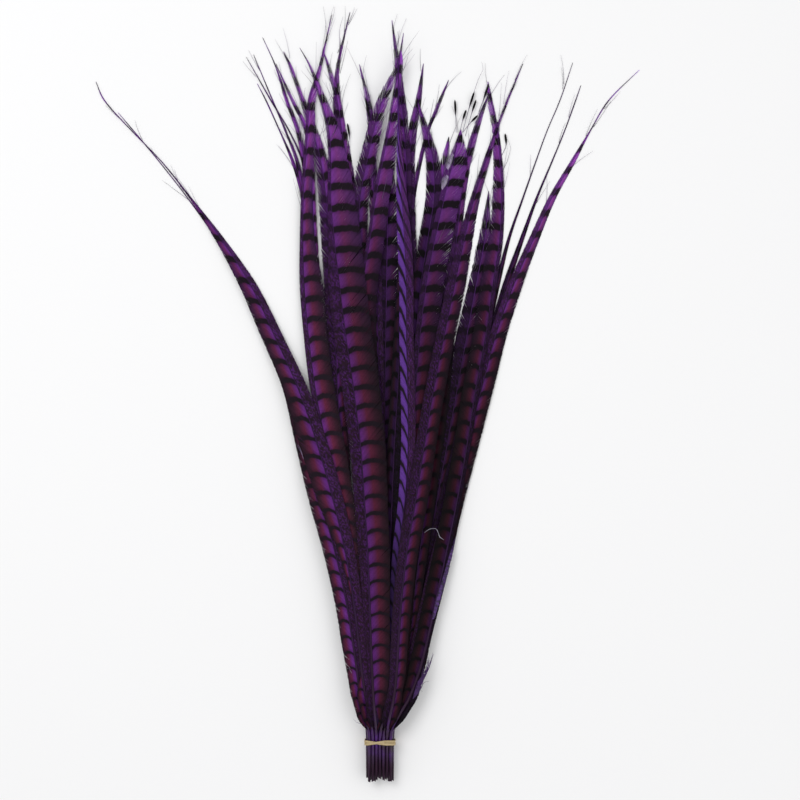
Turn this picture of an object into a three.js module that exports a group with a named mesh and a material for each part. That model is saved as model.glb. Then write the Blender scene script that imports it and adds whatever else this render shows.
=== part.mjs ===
// A tied bunch of thirty long barred pheasant tail feathers, dyed purple, lying flat on a surface.
// Millimetres, +Z up. The quill ends are at low Y and the tips at high Y.
// Each feather is one closed solid: a round quill that opens into two thin vanes beside its rachis.
// The feathers are laid one on another from the back of the bunch to the front.

import * as THREE from "three";

// Quills and the band round them
const QUILL_DIAMETER = 3.7;
const QUILL_END_DIAMETER = 2.8;
const QUILL_PITCH = 3.95;
const QUILL_ROW_RISE = 4.4;
const QUILL_ROWS = [8, 7, 8, 7];
const QUILL_END_RAGGEDNESS = 2.5;
const BAND_CENTRE_Y = 40.5;
const BAND_WIDTH = 5.6;
const BAND_THICKNESS = 1.3;
const BAND_CLEARANCE = 0.35;
const BAND_CORNER_RADIUS = 3.5;
const BAND_CORNER_SEGMENTS = 6;

// Where the quills stop being held side by side, and where the vanes begin
const HELD_UNTIL_Y = 47;
const VANE_START_Y = 50;

// Rachis and vane thickness
const RACHIS_RADIUS_AT = [[50, 1.85], [150, 1.6], [400, 1.05], [600, 0.6], [700, 0.4], [850, 0.25]];
const TIP_RADIUS = 0.25;
const SHOULDER_OUTSIDE_RACHIS = 0.7;
const VANE_HALF_THICKNESS = 0.3;
const OCTAGON_DIAGONAL = Math.SQRT1_2;

// How a feather lies on the ones beneath it
const LAY_GAP = 0.55;
const MOST_VANE_DROOP = -0.16;
const MOST_VANE_RISE = 0.22;
const SAG_CURVATURE = 0.0003;
const RELAX_ROUNDS = 400;
const FIELD_STEP_X = 1;
const FIELD_STEP_Y = 5;
const FIELD_LOW_X = -340;
const FIELD_HIGH_X = 320;
const FIELD_LOW_Y = -10;
const FIELD_HIGH_Y = 860;

// Cross-sections of every feather stand at these Y places, and at its two ends
const SECTION_Y = [
  47, 58, 70, 88, 115, 150, 195, 250, 310, 370, 430, 490, 545, 595, 640, 680, 715, 748, 785,
];
const LAST_SECTION_BEFORE_TIP = 14;

// The feathers from the back of the bunch to the front, in the order in which they are laid.
// path: [Y, X] of the rachis from above the band to the tip.
// vane: [Y, left width, right width].
const FEATHERS = [
  {
    name: "back_flat",
    path: [[98, 4], [200, 4], [400, 5], [600, 8], [690, 9]],
    vane: [[105, 9, 9], [300, 14, 14], [560, 13, 13], [640, 12, 12], [668, 7, 7]],
  },
  {
    name: "centre_ragged",
    path: [[98, -4], [290, -9], [483, -18], [560, -26], [637, -35], [697, -43], [730, -46], [758, -48],
      [782, -47], [804, -43], [828, -38.5], [846, -33]],
    vane: [[110, 5, 5], [300, 7, 7], [600, 6, 6], [740, 5, 5], [780, 2.5, 2.5], [805, 0.8, 0.8]],
  },
  {
    name: "centre_thin",
    path: [[98, 8], [330, 1], [571, -4], [659, -8], [703, -9], [727, -10], [745, -13], [763, -18],
      [788, -23]],
    vane: [[110, 5, 5], [400, 6, 6], [680, 5, 5], [760, 3, 3]],
  },
  {
    name: "right_ragged",
    path: [[98, 17], [220, 27], [370, 40], [500, 50], [593, 57], [637, 64], [664, 68], [686, 73],
      [708, 76]],
    vane: [[110, 5, 5], [350, 8, 11], [500, 8, 12], [560, 7, 8], [600, 6, 6], [680, 5, 5]],
  },
  {
    name: "right_whisker",
    path: [[98, 15], [330, 28], [500, 33], [626, 35], [653, 38.5], [675, 43], [697, 48], [723, 56],
      [747, 66], [771, 76]],
    vane: [[110, 3, 3], [400, 4, 4], [640, 3, 3], [720, 2, 2]],
  },
  {
    name: "right_jagged",
    path: [[98, 26], [197, 44], [307, 63], [384, 77], [450, 89], [494, 97], [527, 103], [565, 110],
      [604, 117], [648, 120]],
    vane: [[110, 6, 5], [350, 14, 10], [470, 14, 11], [520, 9, 10], [560, 9, 9], [620, 6, 5]],
  },
  {
    name: "right_slender_inner",
    path: [[98, 28], [131, 35], [230, 55], [329, 77], [417, 99], [505, 119], [543, 129], [591, 141],
      [649, 161], [713, 184], [746, 198], [790, 213]],
    vane: [[110, 5, 5], [300, 7, 7], [480, 6, 6], [560, 2.5, 2.5], [640, 1, 1], [700, 0.5, 0.5]],
  },
  {
    name: "right_slender_outer",
    path: [[98, 35], [142, 46], [208, 62], [274, 77], [351, 92], [450, 115], [543, 139], [590, 155],
      [645, 175], [697, 197], [728, 209], [765, 222]],
    vane: [[105, 7, 7], [250, 8, 9], [420, 8, 8], [520, 5, 5], [600, 2.5, 2.5], [650, 1.2, 1.2],
      [700, 0.6, 0.6]],
  },
  {
    name: "left_slender_lowest",
    path: [[98, -15], [197, -31], [340, -49], [439, -66], [527, -77], [604, -82.5], [659, -88],
      [686, -99], [719, -113], [756, -130], [767, -136]],
    vane: [[110, 4, 4], [400, 5, 5], [600, 3, 3], [680, 2, 2], [715, 0.8, 0.8]],
  },
  {
    name: "left_slender_second",
    path: [[98, -18], [197, -33], [340, -52], [439, -69], [527, -80], [604, -83], [664, -87],
      [714, -104.5], [736, -113], [769, -129], [799, -140]],
    vane: [[110, 4, 4], [400, 5, 5], [600, 3, 3], [690, 2, 2], [725, 0.8, 0.8]],
  },
  {
    name: "left_slender_hair",
    path: [[98, -22], [197, -35], [340, -54], [439, -70], [527, -78], [604, -80], [660, -82],
      [694, -90], [725, -107], [745, -119], [771, -134], [796, -148]],
    vane: [[110, 4, 4], [400, 5, 5], [650, 2, 2], [700, 0.9, 0.9]],
  },
  {
    name: "left_slender_upper",
    path: [[98, -11], [197, -28], [340, -47], [439, -62], [527, -72], [604, -77], [660, -81],
      [708, -89], [734, -98], [767, -110], [790, -117], [818, -130]],
    vane: [[110, 4, 4], [400, 5, 5], [600, 4, 4], [700, 3, 3], [760, 2, 2], [785, 0.8, 0.8]],
  },
  {
    name: "left_slender_inner",
    path: [[98, -7], [197, -24], [340, -44], [439, -59], [527, -68], [604, -73], [670, -76],
      [705, -78], [736, -91], [760, -103], [789, -115.5]],
    vane: [[110, 4, 4], [400, 5, 5], [600, 4, 4], [700, 3.5, 3.5], [740, 2.5, 2.5], [765, 1, 1]],
  },
  {
    name: "right_inner_slim",
    path: [[98, 14], [160, 17], [300, 26], [417, 33], [527, 35], [593, 33], [637, 32], [670, 32],
      [697, 34], [723, 37], [741, 41], [763, 45], [789, 48]],
    vane: [[110, 6, 6], [400, 8, 8], [650, 7, 7], [720, 5, 5], [765, 2.5, 2.5]],
  },
  {
    name: "right_inner_bent",
    path: [[98, 16], [131, 18], [241, 24], [351, 31], [450, 37], [527, 43], [576, 49.5], [609, 55],
      [637, 59], [664, 60.5], [686, 57], [705, 53], [725, 47], [745, 42]],
    vane: [[110, 6, 6], [400, 11, 11], [600, 10, 10], [664, 9, 9], [705, 6, 6], [725, 3, 3]],
  },
  {
    name: "right_slim",
    path: [[98, 26], [175, 34], [307, 51], [417, 64], [516, 75], [571, 81], [604, 86], [659, 92],
      [683, 97], [705, 103], [725, 109], [744, 115.5], [758, 121]],
    vane: [[110, 6, 7], [400, 12, 12], [470, 12, 12], [520, 12, 8], [571, 8, 6], [600, 5, 5],
      [700, 4.5, 4.5], [740, 2.5, 2.5]],
  },
  {
    name: "centre_second",
    path: [[98, -6], [241, -5], [329, -9], [417, -14], [505, -20], [582, -25], [631, -31], [675, -36],
      [708, -41], [736, -45], [760, -49.5], [782, -56], [803, -63]],
    vane: [[110, 6, 6], [400, 9, 9], [650, 7, 7], [740, 4, 4], [775, 2, 2]],
  },
  {
    name: "left_inner",
    path: [[98, -17], [197, -26], [263, -34], [329, -41], [395, -45], [450, -48], [549, -53],
      [593, -56], [637, -59], [675, -64], [705, -71.5], [734, -81], [757, -89], [778, -96],
      [802, -107]],
    vane: [[110, 7, 7], [400, 10, 10], [650, 9, 9], [700, 7, 7], [735, 4, 4], [765, 2, 2]],
  },
  {
    name: "centre_tall",
    path: [[98, 8], [241, 11], [351, 15], [439, 20], [527, 24], [593, 27.5], [637, 29], [675, 29],
      [703, 27.5], [730, 25], [773, 21], [795, 18], [813, 14], [837, 13]],
    vane: [[110, 6, 6], [400, 8, 8], [650, 6, 6], [740, 5.5, 5.5], [790, 3, 3], [812, 1, 1]],
  },
  {
    name: "centre_crossing",
    path: [[98, -1], [153, -1], [285, -7], [395, -13], [494, -20], [571, -23], [620, -23], [653, -20],
      [681, -14], [703, -9], [727, -3], [747, 3], [765, 11], [784, 19], [802, 22], [821, 26]],
    vane: [[110, 7, 7], [400, 10, 10], [680, 9.5, 9.5], [727, 8, 8], [764, 5, 5], [790, 2, 2]],
  },
  {
    name: "centre_right_barred",
    path: [[98, 4], [219, -3], [329, -11], [417, -16.5], [483, -20], [516, -21], [543, -19],
      [569, -15], [593, -11], [620, -8], [648, -3], [670, 1], [697, 7], [719, 11], [747, 15],
      [769, 20], [802, 23]],
    vane: [[110, 3, 12], [400, 3.5, 17], [600, 3.5, 16.5], [680, 3.5, 14], [720, 3, 9], [760, 2, 4]],
  },
  {
    name: "left_column",
    path: [[98, -20], [175, -31], [241, -38.5], [296, -46], [340, -54], [400, -66], [439, -73],
      [477, -78], [516, -81], [549, -84], [582, -85], [648, -84], [703, -80], [747, -77],
      [767, -71.5], [782, -67], [802, -63], [843, -53]],
    vane: [[110, 5, 14], [400, 6, 22], [560, 5, 21], [600, 3.5, 12], [650, 3, 9], [720, 3, 8],
      [760, 3, 5], [777, 2.5, 4], [790, 1.2, 1.5]],
  },
  {
    name: "right_sweeping",
    path: [[109, 33], [153, 43], [219, 58], [285, 74], [351, 91], [411, 107], [459, 120], [503, 132],
      [538, 145], [580, 164], [624, 181.5], [670, 207], [719, 235], [759, 261], [782, 287]],
    vane: [[110, 8, 13], [250, 8, 14], [400, 8, 14], [520, 7, 12], [600, 5.5, 6], [650, 4, 4.5],
      [690, 2.5, 3], [715, 0.8, 0.8]],
  },
  {
    name: "right_outer_barred",
    path: [[98, 36], [153, 52], [208, 64], [263, 76], [307, 85], [362, 95], [417, 103], [461, 112],
      [505, 119], [549, 125], [587, 131], [631, 134], [686, 132], [714, 129], [738, 124], [769, 119]],
    vane: [[110, 13, 4], [300, 15, 4.5], [560, 14, 4.5], [640, 10, 3.5], [690, 7, 3], [730, 4, 2]],
  },
  {
    name: "left_edge",
    path: [[87, -21], [120, -25], [147, -29], [191, -36], [241, -47], [307, -65], [340, -74],
      [373, -84], [400, -90], [433, -101], [477, -119], [521, -138], [562, -159], [617, -196],
      [651, -221], [690, -252], [735, -290]],
    vane: [[100, 11, 9], [150, 13, 10], [340, 14, 10], [376, 10, 9], [433, 8, 8], [521, 6, 6],
      [580, 2, 2], [617, 0.7, 0.7]],
  },
  {
    name: "far_left",
    path: [[98, -17], [197, -29], [274, -43], [351, -64], [417, -85], [506, -125], [558, -151],
      [617, -192], [651, -218], [690, -250], [741, -300], [769, -314]],
    vane: [[105, 1.5, 8], [215, 1.5, 10], [260, 10, 11], [320, 20, 12], [376, 20, 12], [430, 17, 11],
      [506, 15, 9], [560, 12, 6.7], [617, 4, 2.6], [651, 0.8, 0.8]],
  },
  {
    name: "right_blunt",
    path: [[87, 14], [153, 20], [252, 26], [340, 32], [406, 36], [444, 41], [472, 43], [527, 48],
      [554, 53], [580, 57], [602, 63], [626, 68], [648, 73], [668, 77], [692, 85], [716, 89]],
    vane: [[110, 4, 12], [300, 5.5, 18], [500, 5.5, 20], [600, 5.5, 19], [668, 6, 17], [700, 6, 13]],
  },
  {
    name: "rolled_strip",
    path: [[87, 10], [153, 14], [219, 19], [274, 23], [318, 29], [362, 31], [406, 31], [494, 29],
      [543, 29], [582, 27.5], [620, 25], [659, 23], [692, 21], [740, 20.5], [791, 20]],
    vane: [[110, 6, 6], [300, 8, 8], [600, 8, 8], [660, 5, 5], [700, 2.5, 2.5], [740, 1, 1]],
  },
  {
    name: "right_long_front",
    path: [[98, 16.5], [164, 21], [224, 26], [279, 34], [334, 44], [389, 52], [444, 62], [499, 73],
      [565, 87], [628, 101], [683, 118], [734, 135], [760, 146], [789, 158]],
    vane: [[110, 8, 10], [300, 10, 14], [560, 9, 12], [628, 5, 7], [683, 3.5, 4], [720, 1.5, 1.5]],
  },
  {
    name: "centre_front",
    path: [[87, -7], [153, -10], [241, -13], [318, -18], [362, -21], [406, -26], [450, -32],
      [494, -38.5], [535, -43], [558, -47], [602, -51], [637, -54], [681, -54], [703, -55],
      [719, -57], [738, -62], [760, -69], [784, -77], [806, -89]],
    vane: [[105, 5, 18], [150, 6, 21], [240, 10, 24], [400, 13, 29], [540, 13, 30], [600, 6, 30],
      [640, 4, 27], [690, 3.5, 17], [725, 3, 10], [765, 2, 4], [785, 1.2, 1.6]],
  },
];

// Colours, read by eye
const FEATHER_COLOUR = "#3f2350";
const BAND_COLOUR = "#a38a60";

function clamp(value, low, high) {
  return Math.min(high, Math.max(low, value));
}

// The value at a place along a list of [place, value, ...] rows, in straight stretches
function straightAt(rows, place, column) {
  if (place <= rows[0][0]) {
    return rows[0][column];
  }
  for (let k = 1; k < rows.length; k += 1) {
    const [from, to] = [rows[k - 1], rows[k]];
    if (place <= to[0]) {
      return THREE.MathUtils.mapLinear(place, from[0], to[0], from[column], to[column]);
    }
  }
  return rows[rows.length - 1][column];
}

// The same along a smooth curve through the rows, which leaves the first one straight
function smoothAt(rows, place) {
  const last = rows.length - 1;
  let k = 1;
  while (k < last && place > rows[k][0]) {
    k += 1;
  }
  const slope = (i) => {
    if (i === 0) {
      return 0;
    }
    const [a, b] = [rows[Math.max(i - 1, 0)], rows[Math.min(i + 1, last)]];
    return (b[1] - a[1]) / (b[0] - a[0]);
  };
  const span = rows[k][0] - rows[k - 1][0];
  const t = (place - rows[k - 1][0]) / span;
  const [low, high] = [rows[k - 1][1], rows[k][1]];
  const [leaving, arriving] = [slope(k - 1) * span, slope(k) * span];
  const cube = 2 * (low - high) + leaving + arriving;
  const square = 3 * (high - low) - 2 * leaving - arriving;
  return ((cube * t + square) * t + leaving) * t + low;
}

// Each quill's place in the staggered rows that the band holds, in the order of the feathers
function quillPlaces() {
  const lowest = BAND_THICKNESS + BAND_CLEARANCE + QUILL_DIAMETER / 2;
  const places = [];
  let first = 0;
  QUILL_ROWS.forEach((count, row) => {
    const across = [];
    for (let i = first; i < first + count; i += 1) {
      across.push(i);
    }
    across.sort((a, b) => FEATHERS[a].path[0][1] - FEATHERS[b].path[0][1]);
    across.forEach((feather, column) => {
      places[feather] = { x: (column - (count - 1) / 2) * QUILL_PITCH, z: lowest + row * QUILL_ROW_RISE };
    });
    first += count;
  });
  return places;
}

// One feather's sections, flat on the ground: where each stands and how wide and thick it is
function sectionsOf(feather, index, place) {
  const end = QUILL_END_RAGGEDNESS * Math.sin(7 * index);
  const tip = feather.path[feather.path.length - 1][0];
  const path = [[HELD_UNTIL_Y, place.x], ...feather.path];
  const inner = SECTION_Y.filter((y) => y < tip - LAST_SECTION_BEFORE_TIP);
  return [end, ...inner, tip].map((y) => {
    const radius = y === tip ? TIP_RADIUS : straightAt(RACHIS_RADIUS_AT, y, 1);
    const thinner = y === end ? QUILL_END_DIAMETER / QUILL_DIAMETER : 1;
    const r = radius * thinner;
    const grown = THREE.MathUtils.smoothstep(y, VANE_START_Y, feather.vane[0][0]);
    const vaned = y > VANE_START_Y && y < tip;
    const width = (column) => (vaned ? Math.max(r, straightAt(feather.vane, y, column) * grown) : r);
    const x = y <= HELD_UNTIL_Y ? place.x : smoothAt(path, y);
    return { y, x, z: place.z, r, left: width(1), right: width(2), leftEdge: 0, rightEdge: 0 };
  });
}

// How far from the rachis the thick shoulder of a half vane is, and how thick it is there
function shoulder(width, r) {
  const wide = clamp((width - r) / (2 * r), 0, 1);
  const away = Math.min(width * OCTAGON_DIAGONAL, r * OCTAGON_DIAGONAL + wide * SHOULDER_OUTSIDE_RACHIS);
  const thick = THREE.MathUtils.lerp(r * OCTAGON_DIAGONAL, Math.min(VANE_HALF_THICKNESS, r * 0.6), wide);
  return { away, thick };
}

// The eight corners of a section, from the left edge over the top and back underneath
function corners(s) {
  const left = shoulder(s.left, s.r);
  const right = shoulder(s.right, s.r);
  const leftTilt = (s.leftEdge * left.away) / s.left;
  const rightTilt = (s.rightEdge * right.away) / s.right;
  return [
    [s.x - s.left, s.z + s.leftEdge],
    [s.x - left.away, s.z + leftTilt + left.thick],
    [s.x, s.z + s.r],
    [s.x + right.away, s.z + rightTilt + right.thick],
    [s.x + s.right, s.z + s.rightEdge],
    [s.x + right.away, s.z + rightTilt - right.thick],
    [s.x, s.z - s.r],
    [s.x - left.away, s.z + leftTilt - left.thick],
  ];
}
const UPPER_CORNERS = [0, 1, 2, 3, 4];
const LOWER_CORNERS = [0, 7, 6, 5, 4];

// The height of everything laid so far, on a grid of places
const fieldColumns = Math.round((FIELD_HIGH_X - FIELD_LOW_X) / FIELD_STEP_X) + 1;
const fieldRows = Math.round((FIELD_HIGH_Y - FIELD_LOW_Y) / FIELD_STEP_Y) + 1;
const field = new Float64Array(fieldColumns * fieldRows).fill(-LAY_GAP);

// The feather's eight corners at any Y between two of its sections
function cornersBetween(sections, y) {
  const k = clamp(sections.findIndex((s) => s.y >= y), 1, sections.length - 1);
  const [low, high] = [corners(sections[k - 1]), corners(sections[k])];
  const t = clamp((y - sections[k - 1].y) / (sections[k].y - sections[k - 1].y), 0, 1);
  return low.map((corner, i) => corner.map((value, axis) => THREE.MathUtils.lerp(value, high[i][axis], t)));
}

// Calls back for every grid place under the feather, with the height of one of its sides there
function overFootprint(sections, side, visit) {
  const last = sections[sections.length - 1].y;
  for (let row = 0; row < fieldRows; row += 1) {
    const y = FIELD_LOW_Y + row * FIELD_STEP_Y;
    if (y < sections[0].y - FIELD_STEP_Y || y > last + FIELD_STEP_Y) {
      continue;
    }
    const ring = cornersBetween(sections, y);
    const outline = side.map((i) => ring[i]);
    const from = Math.ceil((outline[0][0] - FIELD_STEP_X - FIELD_LOW_X) / FIELD_STEP_X);
    const to = Math.floor((outline[4][0] + FIELD_STEP_X - FIELD_LOW_X) / FIELD_STEP_X);
    for (let column = Math.max(from, 0); column <= Math.min(to, fieldColumns - 1); column += 1) {
      const x = FIELD_LOW_X + column * FIELD_STEP_X;
      visit(row * fieldColumns + column, x, y, straightAt(outline, x, 1), ring[2][0]);
    }
  }
}

// Keeps the largest of the values asked for at the sections on both sides of a Y
function raise(wanted, sections, y, value) {
  const k = clamp(sections.findIndex((s) => s.y >= y), 1, sections.length - 1);
  wanted[k - 1] = Math.max(wanted[k - 1], value);
  wanted[k] = Math.max(wanted[k], value);
}

// Lets a row of heights settle as a springy strip does, never under its lowest allowed heights
function settle(sections, lowest, held) {
  const heights = lowest.map((low, k) => (k < held ? sections[k].z : low));
  for (let round = 0; round < RELAX_ROUNDS; round += 1) {
    for (let k = held; k < heights.length; k += 1) {
      const before = sections[k].y - sections[k - 1].y;
      const after = k + 1 < heights.length ? sections[k + 1].y - sections[k].y : 0;
      const straight = after
        ? (heights[k - 1] * after + heights[k + 1] * before) / (before + after)
        : heights[k - 1];
      const sagged = straight - SAG_CURVATURE * before * (after || before);
      heights[k] = Math.max(lowest[k], sagged);
    }
  }
  return heights;
}

// Lays one feather on those beneath it and adds it to the field
function lay(sections) {
  const held = sections.filter((s) => s.y <= HELD_UNTIL_Y).length;
  sections.forEach((s) => {
    s.z = s.y <= HELD_UNTIL_Y ? s.z : 0;
  });
  const rachis = sections.map((s) => s.r);
  overFootprint(sections, LOWER_CORNERS, (cell, x, y, under, middle) => {
    if (y > HELD_UNTIL_Y) {
      const away = Math.abs(x - middle);
      raise(rachis, sections, y, field[cell] + LAY_GAP - under - MOST_VANE_RISE * away);
    }
  });
  settle(sections, rachis, held).forEach((z, k) => {
    sections[k].z = z;
  });
  const tilts = { left: sections.map(() => MOST_VANE_DROOP), right: sections.map(() => MOST_VANE_DROOP) };
  overFootprint(sections, LOWER_CORNERS, (cell, x, y, under, middle) => {
    const away = Math.abs(x - middle);
    if (y > HELD_UNTIL_Y && away > 1.5) {
      raise(x < middle ? tilts.left : tilts.right, sections, y, (field[cell] + LAY_GAP - under) / away);
    }
  });
  sections.forEach((s, k) => {
    const vaned = s.left + s.right > 2.5 * s.r && k >= held;
    s.leftEdge = vaned ? clamp(tilts.left[k], MOST_VANE_DROOP, MOST_VANE_RISE) * s.left : 0;
    s.rightEdge = vaned ? clamp(tilts.right[k], MOST_VANE_DROOP, MOST_VANE_RISE) * s.right : 0;
  });
  overFootprint(sections, UPPER_CORNERS, (cell, x, y, over) => {
    field[cell] = Math.max(field[cell], over);
  });
}

// A closed skin over the sections, with a flat cap at each end. The lower side is cut along the same
// diagonals as the upper one, so that the two never cross where a vane is thin.
function skin(sections) {
  const points = [];
  sections.forEach((s) => corners(s).forEach(([x, z]) => points.push(x, s.y, z)));
  const faces = [];
  const count = 8;
  for (let k = 0; k + 1 < sections.length; k += 1) {
    for (let i = 0; i < count; i += 1) {
      const [a, b] = [k * count + i, k * count + ((i + 1) % count)];
      const [c, d] = [a + count, b + count];
      faces.push(...(i < count / 2 ? [c, a, b, c, b, d] : [a, b, d, a, d, c]));
    }
  }
  const top = (sections.length - 1) * count;
  for (let i = 1; i + 1 < count; i += 1) {
    faces.push(i, 0, i + 1);
    faces.push(top + i + 1, top, top + i);
  }
  const geometry = new THREE.BufferGeometry();
  geometry.setAttribute("position", new THREE.Float32BufferAttribute(points, 3));
  geometry.setIndex(faces);
  geometry.computeVertexNormals();
  return geometry;
}

// A rectangle with round corners, as a closed path
function roundedOutline(kind, halfWidth, low, high, radius) {
  const outline = new kind();
  const quarter = Math.PI / 2;
  outline.moveTo(halfWidth, low + radius);
  outline.absarc(halfWidth - radius, high - radius, radius, 0, quarter);
  outline.absarc(radius - halfWidth, high - radius, radius, quarter, 2 * quarter);
  outline.absarc(radius - halfWidth, low + radius, radius, 2 * quarter, 3 * quarter);
  outline.absarc(halfWidth - radius, low + radius, radius, 3 * quarter, 4 * quarter);
  return outline;
}

// The rubber band: a flat loop that closes round all the quills
function bandGeometry() {
  const widest = Math.max(...QUILL_ROWS);
  const inside = ((widest - 1) * QUILL_PITCH + QUILL_DIAMETER) / 2 + BAND_CLEARANCE;
  const tall = (QUILL_ROWS.length - 1) * QUILL_ROW_RISE + QUILL_DIAMETER;
  const high = 2 * BAND_THICKNESS + 2 * BAND_CLEARANCE + tall;
  const shape = roundedOutline(THREE.Shape, inside + BAND_THICKNESS, 0, high, BAND_CORNER_RADIUS);
  const hole = roundedOutline(
    THREE.Path,
    inside,
    BAND_THICKNESS,
    high - BAND_THICKNESS,
    BAND_CORNER_RADIUS - BAND_THICKNESS,
  );
  shape.holes.push(hole);
  const options = { depth: BAND_WIDTH, bevelEnabled: false, curveSegments: BAND_CORNER_SEGMENTS };
  const geometry = new THREE.ExtrudeGeometry(shape, options);
  geometry.rotateX(Math.PI / 2);
  geometry.translate(0, BAND_CENTRE_Y + BAND_WIDTH / 2, 0);
  return geometry;
}

function namedMesh(name, geometry, colour, roughness) {
  const material = new THREE.MeshStandardMaterial({ color: colour, roughness, metalness: 0 });
  const mesh = new THREE.Mesh(geometry, material);
  mesh.name = name;
  return mesh;
}

const bunch = new THREE.Group();
const places = quillPlaces();
FEATHERS.forEach((feather, index) => {
  const sections = sectionsOf(feather, index, places[index]);
  lay(sections);
  bunch.add(namedMesh(`feather_${feather.name}`, skin(sections), FEATHER_COLOUR, 0.75));
});
bunch.add(namedMesh("rubber_band", bandGeometry(), BAND_COLOUR, 0.6));

// The origin is under the middle of the bunch, on the surface that it lies on
const box = new THREE.Box3().setFromObject(bunch);
const middle = box.getCenter(new THREE.Vector3());
bunch.position.set(-middle.x, -middle.y, -box.min.z);

export default bunch;
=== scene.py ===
import math
from typing import NamedTuple

import bmesh
import bpy
import numpy as np
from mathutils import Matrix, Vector


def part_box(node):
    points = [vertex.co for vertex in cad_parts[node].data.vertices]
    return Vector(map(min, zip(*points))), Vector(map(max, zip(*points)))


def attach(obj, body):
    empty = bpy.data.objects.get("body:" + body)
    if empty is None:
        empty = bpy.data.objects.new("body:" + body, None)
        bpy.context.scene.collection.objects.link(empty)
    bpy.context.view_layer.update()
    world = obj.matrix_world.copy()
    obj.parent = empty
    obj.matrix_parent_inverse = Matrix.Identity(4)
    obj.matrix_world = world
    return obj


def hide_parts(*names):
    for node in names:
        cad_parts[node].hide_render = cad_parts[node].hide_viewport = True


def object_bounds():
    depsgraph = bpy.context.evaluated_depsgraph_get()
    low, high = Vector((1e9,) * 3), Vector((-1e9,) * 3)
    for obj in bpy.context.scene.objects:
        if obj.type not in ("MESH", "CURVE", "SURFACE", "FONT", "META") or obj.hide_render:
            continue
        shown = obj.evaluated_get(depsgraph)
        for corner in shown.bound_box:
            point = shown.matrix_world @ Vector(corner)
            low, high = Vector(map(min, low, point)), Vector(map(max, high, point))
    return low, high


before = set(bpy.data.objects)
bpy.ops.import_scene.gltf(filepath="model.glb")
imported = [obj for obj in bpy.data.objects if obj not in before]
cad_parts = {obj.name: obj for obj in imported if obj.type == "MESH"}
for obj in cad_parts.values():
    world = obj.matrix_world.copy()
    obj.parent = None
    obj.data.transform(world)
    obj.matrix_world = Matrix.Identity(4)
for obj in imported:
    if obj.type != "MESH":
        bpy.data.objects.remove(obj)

bl_info = {
    "name": "Tied bunch of dyed pheasant tail feathers",
    "version": (1, 0, 0),
    "blender": (4, 5, 0),
    "location": "View3D > Sidebar > Feather Bunch",
    "description": "Builds a bunch of barred tail feathers, dyed purple, held by a rubber band",
    "category": "Object",
}

CAD_BOX = [list(corner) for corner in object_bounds()]
MM = 0.001

# The quill ends lie on this line of the frame, with the middle of the held quills at this place.
# Places on the bunch are written as millimetres to the right of that middle and above that line.
QUILL_END_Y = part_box("rubber_band")[0].y - 37.7 * MM
QUILLS_X = (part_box("rubber_band")[0].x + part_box("rubber_band")[1].x) / 2


class Marks(NamedTuple):
    """How a feather is marked, with places in millimetres along it from the line of the quill ends."""

    # The bar nearest the tip, and the distance between bars there and near the quill
    bars: tuple
    # The side with plain wide cells between its bars
    barred: str
    # From 0, blue violet, to 1, maroon; the strong blue violet below 0, on the rolled strip, is a
    # painted reflection
    tint: float
    # How bright the feather is, partly its dye and partly painted light and painted shade for how it
    # lies in the bunch, and how torn the vanes are
    light: float
    rag: float
    # How bright the feather is lower down, as painted shade, and the shares of the vane's length where
    # that passes into light
    low: float = None
    dim: tuple = (0.55, 0.85)
    # How many bars one of them crosses on its way over the feather
    slant: float = 0.0


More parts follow.
